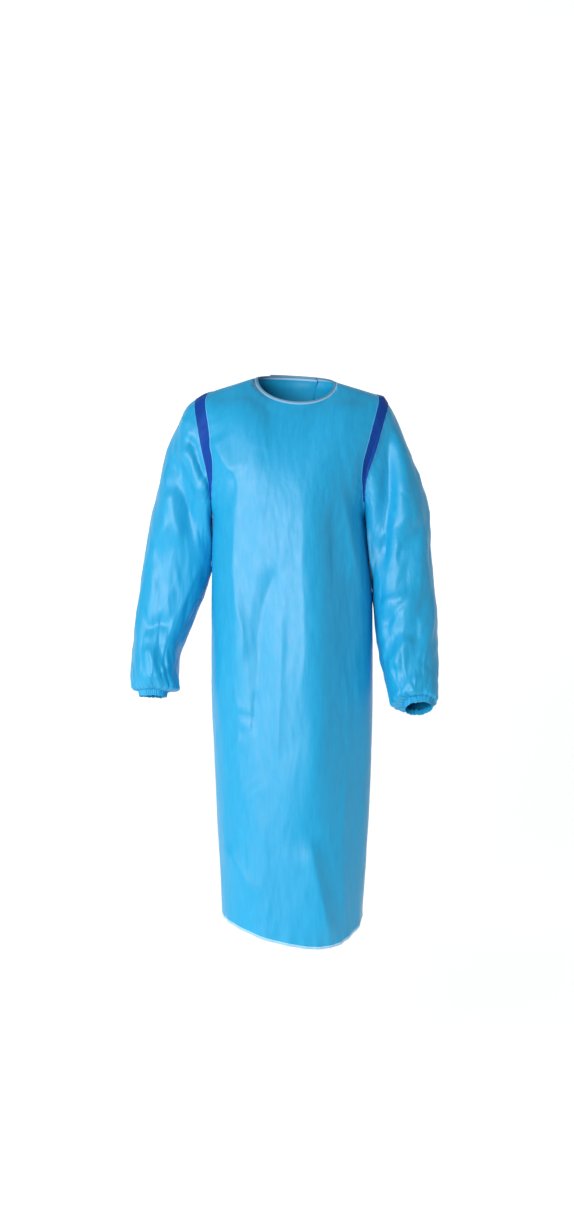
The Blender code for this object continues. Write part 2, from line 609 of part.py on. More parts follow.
def finish_side(grid, gown, side, in_front):
    """Draws a trunk panel's side edge back from the armhole, then from the side seam."""
    whole, normal, edge = gown.trunk(side, in_front)
    other = gown.trunk(side, not in_front)
    turn = 1 if edge == 0 else -1
    arm, seam = np.s_[:YOKE_ROWS + 1], np.s_[YOKE_ROWS:]
    station = np.arange(YOKE_ROWS + 1) * (1 if in_front else -1)
    sleeve = gown.sleeve_normal[side][0, armhole_column(side, station)]
    room = seam_room(normal[arm, edge], sleeve, WALL)
    grid[arm, edge] = drawn_back(whole[arm, edge], normal[arm, edge], room, turn)
    room = seam_room(normal[seam, edge], other[1][seam, other[2]], WALL)
    grid[seam, edge] = drawn_back(grid[seam, edge], normal[seam, edge], room, turn)


def make_panels(gown, material):
    """Front and back panels, drawn back from their seams."""
    lap, neck = LAP_STEPS, LAP_STEPS + NECK_STEPS
    shoulder = {side: gown.back_normal[side][0] for side in (-1, 1)}
    mates = {
        "front_panel": np.concatenate((
            shoulder[-1][:lap - 1:-1], gown.binding_normal[0, lap + 1:neck],
            shoulder[1][SHOULDER_STEPS::-1],
        )),
        "back_panel_right": np.concatenate((
            gown.binding_normal[0, :lap + 1], gown.front_normal[0, SHOULDER_STEPS - 1::-1],
        )),
        "back_panel_left": np.concatenate((
            gown.front_normal[0, :-SHOULDER_STEPS - 1:-1], gown.binding_normal[0, neck:],
        )),
    }
    pieces = (("front_panel", (-1, 1), True), ("back_panel_right", (-1,), False),
              ("back_panel_left", (1,), False))
    for name, sides, in_front in pieces:
        whole, normal, _ = gown.trunk(sides[0], in_front)
        grid = whole.copy()
        for side in sides:
            finish_side(grid, gown, side, in_front)
        room = seam_room(normal[0], mates[name], WALL)
        grid[0] = drawn_back(grid[0], normal[0], room, -1)
        wall(name, grid, WALL, material)


def make_sleeves(gown, material):
    """Sleeves and their elastic cuffs."""
    for side, word in ((-1, "right"), (1, "left")):
        grid, normal = gown.sleeve[side].copy(), gown.sleeve_normal[side]
        station = armhole_station(side, np.arange(grid.shape[1]))
        down = np.abs(station)
        _, front_normal, front_edge = gown.trunk(side, True)
        _, back_normal, back_edge = gown.trunk(side, False)
        mate = np.where((station > 0)[:, None], front_normal[down, front_edge], back_normal[down, back_edge])
        grid[0] = drawn_back(grid[0], normal[0], seam_room(normal[0], mate, WALL), -1, True)
        cuff, cuff_normal = gown.cuff[side].copy(), gown.cuff_normal[side]
        room = seam_room(normal[-1], cuff_normal[0], WALL)
        grid[-1] = drawn_back(grid[-1], normal[-1], room, 1, True)
        cuff[0] = drawn_back(cuff[0], cuff_normal[0], room, -1, True)
        wall("sleeve_" + word, grid, WALL, material, closed=True)
        wall("cuff_" + word, cuff, WALL, material, closed=True)


def binding_rise(w, back):
    """The binding's way from the neck seam to its free edge: in towards the neck and up."""
    alpha = w * math.pi / 2 / NECK_SHARE
    slope = np.radians(mix(BINDING_SLOPE["back" if back else "front"], BINDING_SLOPE["side"],
                           np.sin(alpha) ** 2))
    towards = -np.cos(alpha) if back else np.cos(alpha)
    way = np.stack((-np.sin(alpha) * np.cos(slope), towards * np.cos(slope), np.sin(slope)), -1)
    return way * BINDING_WIDTH


def binding_grid(front, back):
    """Neck binding: one band round the neckline, from the lower back panel's free edge over the
    front to the upper back panel's free edge, standing on the panels' top points."""
    top = np.zeros((1, 1))
    neck = SHOULDER_STEPS + NECK_STEPS
    parts = (
        (back[-1][0, :LAP_STEPS + 1], back_columns(-1, top)[0, ::-1][:LAP_STEPS + 1], True),
        (front[0, SHOULDER_STEPS + 1:neck], front_columns()[SHOULDER_STEPS + 1:neck], False),
        (back[1][0, SHOULDER_STEPS:], back_columns(1, top)[0, SHOULDER_STEPS:], True),
    )
    seam = np.concatenate([line for line, _, _ in parts])
    rise = np.concatenate([binding_rise(w, behind) for _, w, behind in parts])
    return np.stack((seam + rise, seam))


def make_binding(gown, material):
    """The neck binding, drawn back from the panels."""
    grid, normal = gown.binding.copy(), gown.binding_normal
    lap, neck = LAP_STEPS, LAP_STEPS + NECK_STEPS
    mate = np.concatenate((
        gown.back_normal[-1][0, :lap + 1],
        gown.front_normal[0, SHOULDER_STEPS + 1:SHOULDER_STEPS + NECK_STEPS],
        gown.back_normal[1][0, SHOULDER_STEPS:],
    ))
    room = seam_room(normal[1], mate, BINDING_WALL)
    grid[1] = drawn_back(grid[1], normal[1], room, 1)
    wall("neck_binding", grid, BINDING_WALL, material)


def make_tape(gown, side, material):
    """Tape over an armhole seam: a strip that lies half on the trunk and half on the sleeve at
    the shoulder and more on the trunk lower down, in front and behind."""
    station = np.arange(-TAPE_END_ROW, TAPE_END_ROW + 1)
    down = np.abs(station)
    drift = TAPE_DRIFT[side] * ease(down / TAPE_DRIFT_ROWS)[:, None]
    lines = []
    for in_front in (True, False):
        grid, normal, edge = gown.trunk(side, in_front)
        beside = 1 if edge == 0 else edge - 1
        seam = grid[down, edge]
        lines.append((
            seam + unit(grid[down, beside] - seam) * (TAPE_WIDTH / 2 + drift),
            unit(normal[down, edge] + normal[down, beside]),
            normal[down, edge],
            seam,
        ))
    in_front = (station >= 0)[:, None]
    trunk, trunk_normal, seam_normal, seam = (np.where(in_front, f, b) for f, b in zip(*lines))
    top = station == 0
    trunk_normal[top] = unit(lines[0][1][top] + lines[1][1][top])
    seam_normal[top] = unit(lines[0][2][top] + lines[1][2][top])
    column = armhole_column(side, station)
    sleeve, sleeve_normal = gown.sleeve[side][:2, column], gown.sleeve_normal[side][:2, column]
    beyond = sleeve[0] + unit(sleeve[1] - sleeve[0]) * (TAPE_WIDTH / 2 - drift)
    beyond_normal = unit(sleeve_normal[0] + sleeve_normal[1])
    meeting = sleeve_normal[0]
    mitre = (seam_normal + meeting) / (1 + (seam_normal * meeting).sum(-1, keepdims=True))
    lift = WALL / 2 + TRIM_LIFT + TAPE_WALL / 2
    across = (
        (beyond + beyond_normal * lift, beyond_normal),
        (seam + mitre * lift, unit(mitre)),
        (trunk + trunk_normal * lift, trunk_normal),
    )
    if side > 0:
        across = across[::-1]
    grid, normal = (np.stack(part, 1) for part in zip(*across))
    wall("armhole_tape_" + ("right" if side < 0 else "left"), grid, TAPE_WALL, material, normal=normal)


def on_back(gown, side, w, v, lift):
    """Points on a back panel's own facets, moved out by a lift, with their normals."""
    w, v, lift = np.broadcast_arrays(w, v, lift)
    grid, normal = gown.back[side], gown.back_normal[side]
    row = v.ravel() * (len(grid) - 1)
    i = np.clip(row.astype(int), 0, len(grid) - 2)
    columns = back_columns(side, v.reshape(-1, 1))
    if side < 0:
        columns = columns[:, ::-1]
    order = np.arange(grid.shape[1])
    column = np.array([np.interp(-at, -line, order) for at, line in zip(w.ravel(), columns)])
    j = np.clip(column.astype(int), 0, grid.shape[1] - 2)
    a, b = (row - i)[:, None], (column - j)[:, None]
    upper = (a <= b)
    spots = []
    for field in (grid, normal):
        first, last = field[i, j], field[i + 1, j + 1]
        turn = np.where(upper, field[i, j + 1], field[i + 1, j])
        flat = first * (1 - np.maximum(a, b)) + turn * np.abs(b - a) + last * np.minimum(a, b)
        spots.append(flat.reshape(*w.shape, 3))
    out = unit(spots[1])
    return spots[0] + out * lift[..., None], out


def column_stops(side, v, begin, end):
    """w from begin to end, rightwards seen from behind, with a stop at each of a panel's columns."""
    columns = back_columns(side, np.array([[v]]))[0]
    inside = columns[(columns < begin - 0.01) & (columns > end + 0.01)]
    return np.concatenate(((begin,), np.sort(inside)[::-1], (end,)))


def band_over_edge(gown, v, begin, end, thickness):
    """A level band from the upper back panel over its free edge onto the lower one. Returns its
    points and normals; v holds the height of its lines."""
    middle = v[len(v) // 2]
    edge = float(free_edge(1, middle))
    lift = WALL / 2 + TRIM_LIFT + thickness / 2
    upper = column_stops(1, middle, begin, edge + 0.004)
    lower = column_stops(-1, middle, edge - EDGE_FALL, end)
    parts = (
        on_back(gown, 1, upper, v[:, None], lift),
        on_back(gown, -1, np.array((edge - EDGE_STEP,)), v[:, None], lift + LAP_RISE),
        on_back(gown, -1, lower, v[:, None], lift),
    )
    return (np.concatenate([part[k] for part in parts], 1) for k in (0, 1))


def make_back_closures(gown, material):
    """Neck tab, waist ties, their knot and its loose ends, all lying on the back panels."""
    v = rows()[TAB_ROWS[0]:TAB_ROWS[1] + 1, 0]
    edge = float(free_edge(1, v[1]))
    grid, normal = band_over_edge(gown, v, edge + TAB_REACH, edge - TAB_REACH, TAB_WALL)
    wall("neck_tab", grid, TAB_WALL, material, normal=normal)

    spread = np.array((-1, 0, 1)) * TIE_WIDTH / 2 / DOWN_SKIRT
    half_knot = (KNOT_SIZE / 2 + SEAM_GAP) / ACROSS_BACK
    edge = float(free_edge(1, TIE_V))
    grid, normal = band_over_edge(gown, TIE_V + spread, edge + TIE_SEWN, KNOT_W + half_knot, TIE_WALL)
    wall("waist_tie_left", grid, TIE_WALL, material, normal=normal)
    lift = WALL / 2 + TRIM_LIFT + TIE_WALL / 2
    stops = column_stops(-1, TIE_V, KNOT_W - half_knot, TIE_SIDE_W)
    grid, normal = on_back(gown, -1, stops, (TIE_V + spread)[:, None], lift)
    wall("waist_tie_right", grid, TIE_WALL, material, normal=normal)

    half = np.linspace(-1, 1, 5)
    plump = 0.3 + 0.7 * ((1 - half[:, None] ** 2) * (1 - half[None, :] ** 2)) ** 0.5
    depth = KNOT_DEPTH * plump
    grid, normal = on_back(gown, -1, KNOT_W - half * KNOT_SIZE / 2 / ACROSS_BACK,
                           (TIE_V + half * KNOT_SIZE / 2 / DOWN_SKIRT)[:, None],
                           WALL / 2 + TRIM_LIFT + depth / 2)
    wall("waist_knot", grid, depth[..., None], material, normal=normal)

    start = TIE_V + (KNOT_SIZE / 2 + SEAM_GAP) / DOWN_SKIRT
    end = start + TIE_END_LENGTH / DOWN_SKIRT
    all_rows = rows()[:, 0]
    stops = np.concatenate(((start,), all_rows[(all_rows > start + 0.004) & (all_rows < end - 0.004)], (end,)))
    share = ((stops - start) / (end - start))[:, None]
    width = TIE_WIDTH / 2 / ACROSS_BACK * mix(KNOT_PLEAT, 1, ease(share))
    for word, way in (("left", 1), ("right", -1)):
        w = KNOT_W + way * mix(TIE_END_FAN[0], TIE_END_FAN[1], share) + width * np.array((1, 0, -1))
        grid, normal = on_back(gown, -1, w, stops[:, None], lift + TIE_END_FREE)
        wall("tie_end_" + word, grid, TIE_WALL, material, normal=normal)


def main():
    """Clears the scene and builds every piece."""
    for old in list(bpy.data.objects):
        bpy.data.objects.remove(old)
    cloth = cloth_material("coated_nonwoven_blue", CLOTH_BLUE, 0.42)
    tape = cloth_material("seam_tape_dark_blue", TAPE_BLUE, 0.45)
    binding = cloth_material("binding_pale_blue", BINDING_BLUE, 0.55)
    gown = Gown()
    make_panels(gown, cloth)
    make_sleeves(gown, cloth)
    make_binding(gown, binding)
    for side in (-1, 1):
        make_tape(gown, side, tape)
    make_back_closures(gown, cloth)


main()
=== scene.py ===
"""Surgical gown, worn and hollow: film-coated nonwoven with taped armholes.

Metres, +Z up, the front faces -Y and the wearer's left is +X. Every cloth piece is a surface of
two parameters on a grid, moved in and out by creases placed one by one, with a thin wall laid to
both sides of it.
"""
import functools
import math

import bpy
import numpy as np
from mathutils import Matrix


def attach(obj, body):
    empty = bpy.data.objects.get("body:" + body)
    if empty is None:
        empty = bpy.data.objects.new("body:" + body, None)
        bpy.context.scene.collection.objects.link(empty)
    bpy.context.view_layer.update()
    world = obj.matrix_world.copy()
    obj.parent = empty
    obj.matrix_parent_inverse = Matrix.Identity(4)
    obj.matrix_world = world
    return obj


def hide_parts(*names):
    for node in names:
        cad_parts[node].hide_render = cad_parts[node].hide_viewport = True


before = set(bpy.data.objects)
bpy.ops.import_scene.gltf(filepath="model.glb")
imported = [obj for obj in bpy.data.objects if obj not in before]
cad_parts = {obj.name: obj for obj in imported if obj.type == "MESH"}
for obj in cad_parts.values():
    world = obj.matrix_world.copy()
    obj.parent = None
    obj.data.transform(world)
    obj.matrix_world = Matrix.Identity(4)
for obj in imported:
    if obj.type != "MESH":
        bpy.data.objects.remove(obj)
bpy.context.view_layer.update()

bl_info = {
    "name": "Surgical Gown",
    "version": (1, 0, 0),
    "blender": (4, 5, 0),
    "location": "View3D > Sidebar > Gown",
    "description": "Builds a worn surgical gown from its pattern pieces",
    "category": "Add Mesh",
}

# ---- how finely the cloth is divided ---------------------------------------------------------
REFINE = 7                 # cells of cloth for each step of the pattern's own grid
SOFT_REACH = 14            # the neck point's corner is rounded over this many columns either way
CHEST_REACH = 26           # the chest rounds over into the front this many rows either way
YOKE_ROWS = 18             # the pattern's own steps: from the top line down to the underarm,
SKIRT_ROWS = 15            # from the underarm down to the hem,
SHOULDER_STEPS = 6         # along a shoulder,
NECK_STEPS = 10            # round the front neckline,
LAP_STEPS = 7              # from a neck point to a back panel's free edge,
SLEEVE_ROWS = 14           # and from the armhole down to the wrist
PANEL_ROWS = YOKE_ROWS + SKIRT_ROWS
YOKE_SHARE = YOKE_ROWS / PANEL_ROWS
ARMHOLE_CELLS = 2 * YOKE_ROWS * REFINE
SIDES = ((-1, "right"), (1, "left"))    # the wearer's sides: the sign of x, and the word in names
SHARP_ANGLE = 55           # degrees between two faces from which their edge is drawn sharp

# ---- trunk, bottom to top: x of its sides, and how deep it is in front and behind --------------
ROUNDNESS = 2.5
TRUNK_COLUMNS = ("height", "right_side", "left_side", "front", "back")
TRUNK = np.array((
    (-1.100, -0.1350, 0.1290, 0.1130, 0.1140),
    (-1.020, -0.1390, 0.1330, 0.1150, 0.1160),
    (-0.945, -0.1430, 0.1385, 0.1165, 0.1175),
    (-0.870, -0.1475, 0.1430, 0.1175, 0.1185),
    (-0.770, -0.1525, 0.1480, 0.1190, 0.1200),
    (-0.700, -0.1555, 0.1510, 0.1200, 0.1210),
    (-0.620, -0.1590, 0.1530, 0.1205, 0.1215),
    (-0.500, -0.1605, 0.1530, 0.1205, 0.1215),
    (-0.400, -0.1600, 0.1510, 0.1200, 0.1215),
    (-0.330, -0.1585, 0.1440, 0.1190, 0.1215),
    (-0.265, -0.1580, 0.1390, 0.1170, 0.1205),
    (-0.200, -0.1610, 0.1400, 0.1130, 0.1180),
    (-0.145, -0.1700, 0.1480, 0.1060, 0.1130),
    (-0.080, -0.1760, 0.1600, 0.0960, 0.1050),
))

# ---- neck, shoulders, hem and back opening -----------------------------------------------------
NECK_X = 0.004
NECK_HALF_WIDTH = 0.082
NECK_Y = 0.010
NECK_FRONT_REACH = 0.070
NECK_BACK_REACH = 0.064
NECK_FRONT_DROP = 0.0545
NECK_BACK_RISE = 0.010
NECK_RIGHT_Z = 0.0075
NECK_LEFT_Z = -0.0010
NECK_SHARE = 0.46          # of the way from the middle to a shoulder point, along the top line
NECK_SLOPE_START = 0.22    # how far a column has rounded over where it starts at the neckline
YOKE_DROP = 0.135          # height in which the shoulders round over into the trunk
EVEN_FALL = 0.55           # how evenly a middle column's rows are spaced, 0 to 1
UNDERARM_DIP = 0.030       # how far the underarms' row sinks between them
HEM_COLUMNS = ("angle", "height")
HEM = np.array((
    (-90, -1.034), (-67, -1.0405), (-45, -1.0535), (-25, -1.0685), (-8, -1.0768), (31, -1.0855),
    (47, -1.0810), (63, -1.068), (90, -1.041), (135, -1.052), (180, -1.060), (225, -1.050),
    (270, -1.039),
))
LAP_COLUMNS = ("share_down", "under_edge", "over_edge")
LAP = np.array(((0.0, 14.0, -17.5), (0.545, 20.0, -24.0), (1.0, 39.0, -44.0)))
LAP_RISE = 0.0038          # how far the upper back panel stands off over the lower one
LAP_RUN = (0.30, 0.24)     # in w: where it starts to rise beside the lower one's edge, and its run

# ---- sleeves: rings from the armhole to the wrist ------------------------------------------------
SLEEVE_ROUNDNESS = 2.3
SLEEVE_COLUMNS = ("outer_x", "outer_z", "inner_x", "inner_z", "y", "depth", "lean")
SLEEVE = {
    -1: np.array((
        (-0.1700, -0.0245, -0.1583, -0.2650, 0.008, 0.070, 0),
        (-0.2015, -0.0475, -0.1590, -0.2790, 0.012, 0.072, 0),
        (-0.2255, -0.0835, -0.1585, -0.2950, 0.018, 0.072, 0),
        (-0.2475, -0.1301, -0.1575, -0.3130, 0.026, 0.070, 0),
        (-0.2638, -0.1924, -0.1570, -0.3320, 0.034, 0.068, 0),
        (-0.2800, -0.2669, -0.1590, -0.3560, 0.040, 0.065, 0),
        (-0.2940, -0.3379, -0.1690, -0.3870, 0.042, 0.061, 2),
        (-0.3037, -0.4050, -0.1833, -0.4307, 0.040, 0.057, 5),
        (-0.3110, -0.4681, -0.2037, -0.4800, 0.034, 0.053, 8),
        (-0.3164, -0.5232, -0.2240, -0.5271, 0.028, 0.049, 8),
        (-0.3194, -0.5640, -0.2262, -0.5680, 0.024, 0.047, 8),
        (-0.3185, -0.5860, -0.2250, -0.5880, 0.022, 0.045, 8),
        (-0.3165, -0.5980, -0.2260, -0.6010, 0.022, 0.039, 8),
        (-0.3050, -0.6015, -0.2480, -0.6035, 0.022, 0.028, 8),
    )),
    1: np.array((
        (0.1735, -0.0290, 0.1390, -0.2687, 0.008, 0.070, 0),
        (0.1899, -0.0571, 0.1380, -0.2830, 0.008, 0.072, 0),
        (0.2059, -0.0917, 0.1360, -0.3000, 0.007, 0.073, 0),
        (0.2261, -0.1400, 0.1340, -0.3190, 0.006, 0.072, 0),
        (0.2463, -0.1885, 0.1350, -0.3400, 0.005, 0.070, 0),
        (0.2624, -0.2513, 0.1390, -0.3650, 0.004, 0.067, 0),
        (0.2655, -0.3263, 0.1480, -0.4010, 0.001, 0.063, 4),
        (0.2721, -0.4013, 0.1535, -0.4406, -0.005, 0.059, 8),
        (0.2764, -0.4680, 0.1580, -0.4876, -0.015, 0.055, 14),
        (0.2776, -0.5223, 0.1660, -0.5320, -0.028, 0.051, 20),
        (0.2765, -0.5702, 0.1746, -0.5721, -0.043, 0.049, 26),
        (0.2745, -0.6060, 0.1841, -0.6090, -0.057, 0.046, 30),
        (0.2725, -0.6190, 0.1875, -0.6235, -0.064, 0.041, 30),
        (0.2655, -0.6205, 0.2090, -0.6240, -0.066, 0.029, 30),
    )),
}
ARMHOLE_COLUMNS = ("angle", "right", "left")
ARMHOLE = np.array((
    (0, 0.000, 0.000), (40, 0.016, 0.003), (75, 0.013, -0.004), (105, 0.004, -0.013),
    (140, 0.000, -0.006), (180, 0.000, 0.000), (225, 0.001, 0.004), (270, 0.006, 0.008),
    (320, 0.014, 0.012), (360, 0.000, 0.000),
))
BULGE_FADE = 0.25          # share of the sleeve down which the armhole's bulge fades
UNDERARM_STEP = 0.0022     # how far the sleeve steps off the trunk under the arm
SLEEVE_CLEAR = 0.0032      # least way in x from the trunk's cloth to the sleeve's, middle to middle
CLEAR_SOFTNESS = 0.003
CUFF_GRIP = 0.93           # share of the sleeve's last ring that the elastic leaves
CUFF_ROWS = 8
PUCKERS = 46
PUCKER_RISE = 0.0007
ELASTIC_ROWS = 3
ELASTIC_RISE = 0.0004
GATHER_START = 0.88        # share of the sleeve down which its gathers begin
STITCH_POINTS = 12         # points on each turn of the overlock's thread

# ---- pulls along the armhole seams and waves along the hem: pitch and height ----------------------
PULL_PITCH = 0.027
PULL_RISE = 0.0007
SLEEVE_PULL_RISE = 0.0005
WAVE_PITCH = 0.034
WAVE_RISE = 0.0009

# ---- trims ---------------------------------------------------------------------------------------
TRIM_LIFT = 0.0007         # room between a trim and the cloth under it
TAPE_LIFT = 0.0002
TIE_LIFT = 0.0008          # what a tie's folds need besides
TAPE_END = 13.4            # in armhole steps of 10 degrees from the shoulder
TAPE_DRIFT = {-1: 0.010, 1: 0.004}   # how far its middle moves onto the trunk, below the shoulder
TAPE_DRIFT_STEPS = 8
TAPE_TUCK = {-1: 4.5, 1: 4.6}        # steps at its ends, under the arm, in which its halves narrow
TAPE_LEFT = {"trunk": 0.30, "sleeve": 0.12}    # share of each half's width at its hidden ends
TAPE_REACH = 6             # steps of each panel, beside the seam, that the tape is laid along
TAPE_ACROSS = np.array((0.0, 0.05, 0.15, 0.30, 0.48, 0.66, 0.82, 0.90, 0.96, 1.0))
BINDING_SLOPE = {"front": 54, "side": 20, "back": 66}    # degrees up from level
BINDING_PAINTED_SHADE_SHARE = 0.5   # how far down the binding the painted shade of its inner fold reaches
BINDING_ROUND = 0.14       # how far down it its round fold reaches
BINDING_DOWN = np.array((0.0, 0.01, 0.04, 0.08, 0.14, 0.25, 0.38, 0.46, 0.5, 0.54, 0.62, 0.74, 0.86, 1.0))
TAB_ROWS = (3, 5)          # rows of the back panels, from the top line, that the tab spans
TAB_REACH = 0.12           # in w, to either side of the upper panel's free edge
TIE_V = 0.5909
TIE_SEWN = 0.11            # in w, from the upper panel's free edge
TIE_SIDE_W = -0.985
TIE_CELLS = 140
KNOT_W = -0.64
KNOT_SIZE = 0.030
KNOT_PLEAT = 0.55          # share of a tie's width that is left at the knot
TIE_END_LENGTH = 0.200
TIE_END_FAN = (0.040, 0.095)    # in w, from the knot's middle to a loose end's, above and below
TIE_END_FREE = 0.0012
EDGE_STEP = 0.014          # in w: how far past the free edge a band stays level,
EDGE_FALL = 0.050          # and where it has come down onto the lower panel
ACROSS_BACK = 0.215        # metres for each unit of w across the back
DOWN_SKIRT = 1.74          # metres for each unit of v down the skirt

# ---- creases: a path of (x, z) points seen square on, its width to the left and right of the
# way it runs, its height (a trough is below zero), and how sharp its crest is, 0 to 1 -------------
CREASE_COLUMNS = ("path", "left_width", "right_width", "height", "sharpness")
CREASE_FADE = 0.25         # share of its path in which a crease fades, at each end
CREASE_TURN = 0.6          # a crease is full where the cloth faces along Y at least this much
FRONT_CREASES = (
    # the main folds
    (((0.050, -0.070), (0.044, -0.230), (0.042, -0.430), (0.040, -0.626), (0.030, -0.757),
      (0.008, -0.960)), 0.056, 0.038, 0.0105, 0.0),
    (((-0.109, -0.185), (-0.115, -0.341), (-0.108, -0.470), (-0.106, -0.620)),
     0.020, 0.020, 0.0050, 0.3),
    (((-0.158, -0.110), (-0.109, -0.195)), 0.022, 0.020, 0.0045, 0.2),
    (((0.084, -0.180), (0.107, -0.269), (0.122, -0.333), (0.134, -0.400)), 0.022, 0.018, 0.0060, 0.3),
    (((-0.034, -0.350), (-0.054, -0.420), (-0.066, -0.500), (-0.070, -0.740)),
     0.022, 0.024, -0.0042, 0.1),
    (((0.085, -0.120), (0.100, -0.320), (0.112, -0.560), (0.116, -0.850), (0.118, -1.400)),
     0.060, 0.045, -0.0150, 0.0),
    (((0.027, -0.870), (0.048, -0.980), (0.072, -1.090)), 0.034, 0.018, 0.0075, 0.4),
    (((-0.130, -0.890), (-0.075, -1.000)), 0.020, 0.026, 0.0040, 0.3),
    # drag lines from the armholes
    (((-0.153, -0.125), (-0.130, -0.166), (-0.106, -0.205), (-0.108, -0.276)),
     0.007, 0.010, 0.0022, 0.8),
    (((-0.106, -0.205), (-0.112, -0.345), (-0.108, -0.432), (-0.096, -0.496), (-0.106, -0.596)),
     0.007, 0.006, 0.0022, 0.9),
    (((0.058, -0.210), (0.056, -0.248)), 0.004, 0.006, -0.0018, 0.9),
    (((0.080, -0.195), (0.105, -0.276), (0.118, -0.338), (0.133, -0.394), (0.143, -0.432)),
     0.009, 0.007, 0.0022, 0.8),
    (((0.096, -0.125), (0.109, -0.181), (0.116, -0.238)), 0.009, 0.012, 0.0014, 0.6),
    (((-0.046, -0.087), (-0.061, -0.150)), 0.018, 0.014, 0.0009, 0.3),
    # sharp crests and lines along the main folds
    (((0.026, -0.860), (0.047, -0.963), (0.067, -1.065)), 0.026, 0.006, 0.0030, 1.0),
    (((-0.020, -0.345), (-0.048, -0.402), (-0.064, -0.464), (-0.070, -0.558), (-0.068, -0.676)),
     0.009, 0.012, -0.0014, 0.7),
    (((0.022, -0.200), (0.014, -0.351), (0.020, -0.501), (0.012, -0.640)), 0.007, 0.016, 0.0014, 0.6),
    (((0.070, -0.238), (0.076, -0.351), (0.070, -0.450)), 0.008, 0.014, -0.0018, 0.6),
    (((0.067, -0.351), (0.079, -0.501), (0.075, -0.652)), 0.010, 0.016, 0.0012, 0.5),
    (((0.092, -0.516), (0.104, -0.580), (0.111, -0.649)), 0.008, 0.007, 0.0014, 0.7),
    (((0.105, -0.727), (0.097, -0.916), (0.109, -1.047)), 0.014, 0.018, 0.0018, 0.5),
    (((-0.046, -0.803), (-0.061, -0.953), (-0.046, -1.047)), 0.020, 0.014, 0.0016, 0.5),
    (((-0.130, -0.426), (-0.138, -0.614), (-0.128, -0.803)), 0.012, 0.010, 0.0018, 0.5),
    (((-0.061, -0.238), (-0.068, -0.351)), 0.008, 0.008, 0.0010, 0.7),
    (((-0.021, -0.426), (-0.027, -0.596), (-0.034, -0.727)), 0.010, 0.008, 0.0012, 0.6),
    # small wrinkles at the hip
    (((-0.117, -0.614), (-0.093, -0.636), (-0.068, -0.631)), 0.005, 0.005, 0.0019, 0.8),
    (((-0.112, -0.650), (-0.089, -0.665), (-0.070, -0.655)), 0.004, 0.005, 0.0016, 0.8),
    (((-0.103, -0.632), (-0.082, -0.650)), 0.004, 0.004, -0.0012, 0.8),
    (((-0.073, -0.592), (-0.080, -0.682)), 0.004, 0.005, -0.0022, 0.9),
    (((-0.100, -0.680), (-0.121, -0.726)), 0.007, 0.008, 0.0016, 0.6),
    (((-0.110, -0.806), (-0.102, -0.825), (-0.083, -0.836)), 0.005, 0.006, -0.0013, 0.8),
    (((-0.134, -0.888), (-0.106, -0.931), (-0.077, -0.975)), 0.010, 0.006, 0.0018, 0.8),
    (((-0.112, -0.805), (-0.060, -0.754)), 0.004, 0.004, 0.0009, 0.8),
    (((-0.104, -0.820), (-0.055, -0.774)), 0.004, 0.004, 0.0009, 0.8),
    (((-0.098, -0.836), (-0.062, -0.802)), 0.004, 0.004, 0.0008, 0.8),
)
BACK_CREASES = (
    (((0.060, -0.150), (0.052, -0.420), (0.060, -0.700), (0.050, -0.960)), 0.034, 0.040, 0.0080, 0.0),
    (((-0.050, -0.240), (-0.062, -0.520), (-0.056, -0.900), (-0.066, -1.060)),
     0.036, 0.030, 0.0085, 0.0),
    (((0.000, -0.360), (-0.006, -0.640), (0.004, -1.000)), 0.030, 0.030, -0.0060, 0.0),
    (((0.110, -0.330), (0.118, -0.620), (0.112, -0.980)), 0.022, 0.022, -0.0045, 0.2),
    # drag lines from the armholes and from the ties
    (((0.150, -0.120), (0.118, -0.180), (0.088, -0.290)), 0.010, 0.012, 0.0026, 0.7),
    (((0.140, -0.190), (0.112, -0.260), (0.100, -0.360)), 0.009, 0.009, 0.0020, 0.7),
    (((-0.155, -0.120), (-0.126, -0.190), (-0.110, -0.280)), 0.010, 0.010, 0.0022, 0.7),
    (((0.100, -0.335), (0.030, -0.352), (-0.040, -0.362)), 0.007, 0.009, 0.0022, 0.7),
    (((0.112, -0.385), (0.040, -0.376), (-0.035, -0.372)), 0.006, 0.008, 0.0018, 0.8),
    (((0.090, -0.420), (0.020, -0.398), (-0.035, -0.384)), 0.007, 0.007, 0.0014, 0.7),
    (((-0.020, -0.300), (-0.045, -0.345)), 0.006, 0.007, 0.0015, 0.7),
    # lines down the skirt
    (((0.058, -0.200), (0.050, -0.400), (0.060, -0.620)), 0.008, 0.014, 0.0018, 0.7),
    (((-0.055, -0.420), (-0.062, -0.640), (-0.050, -0.820)), 0.012, 0.008, 0.0020, 0.7),
    (((0.020, -0.520), (0.026, -0.760), (0.016, -0.960)), 0.010, 0.012, 0.0016, 0.6),
    (((0.086, -0.620), (0.092, -0.840), (0.082, -1.020)), 0.012, 0.008, 0.0018, 0.7),
    (((-0.018, -0.720), (-0.024, -0.900), (-0.012, -1.050)), 0.009, 0.012, 0.0018, 0.6),
    (((0.062, -0.880), (0.040, -0.970), (0.028, -1.060)), 0.020, 0.007, 0.0026, 0.9),
    (((-0.110, -0.560), (-0.118, -0.760), (-0.104, -0.960)), 0.010, 0.012, 0.0016, 0.6),
    (((0.128, -0.520), (0.134, -0.700), (0.126, -0.880)), 0.010, 0.010, 0.0016, 0.6),
    # small wrinkles where the wearer sits
    (((0.100, -0.690), (0.072, -0.705), (0.046, -0.698)), 0.005, 0.005, 0.0014, 0.8),
    (((0.096, -0.716), (0.066, -0.730), (0.050, -0.722)), 0.004, 0.005, 0.0012, 0.8),
    (((-0.028, -0.610), (-0.050, -0.634)), 0.005, 0.005, 0.0014, 0.8),
)
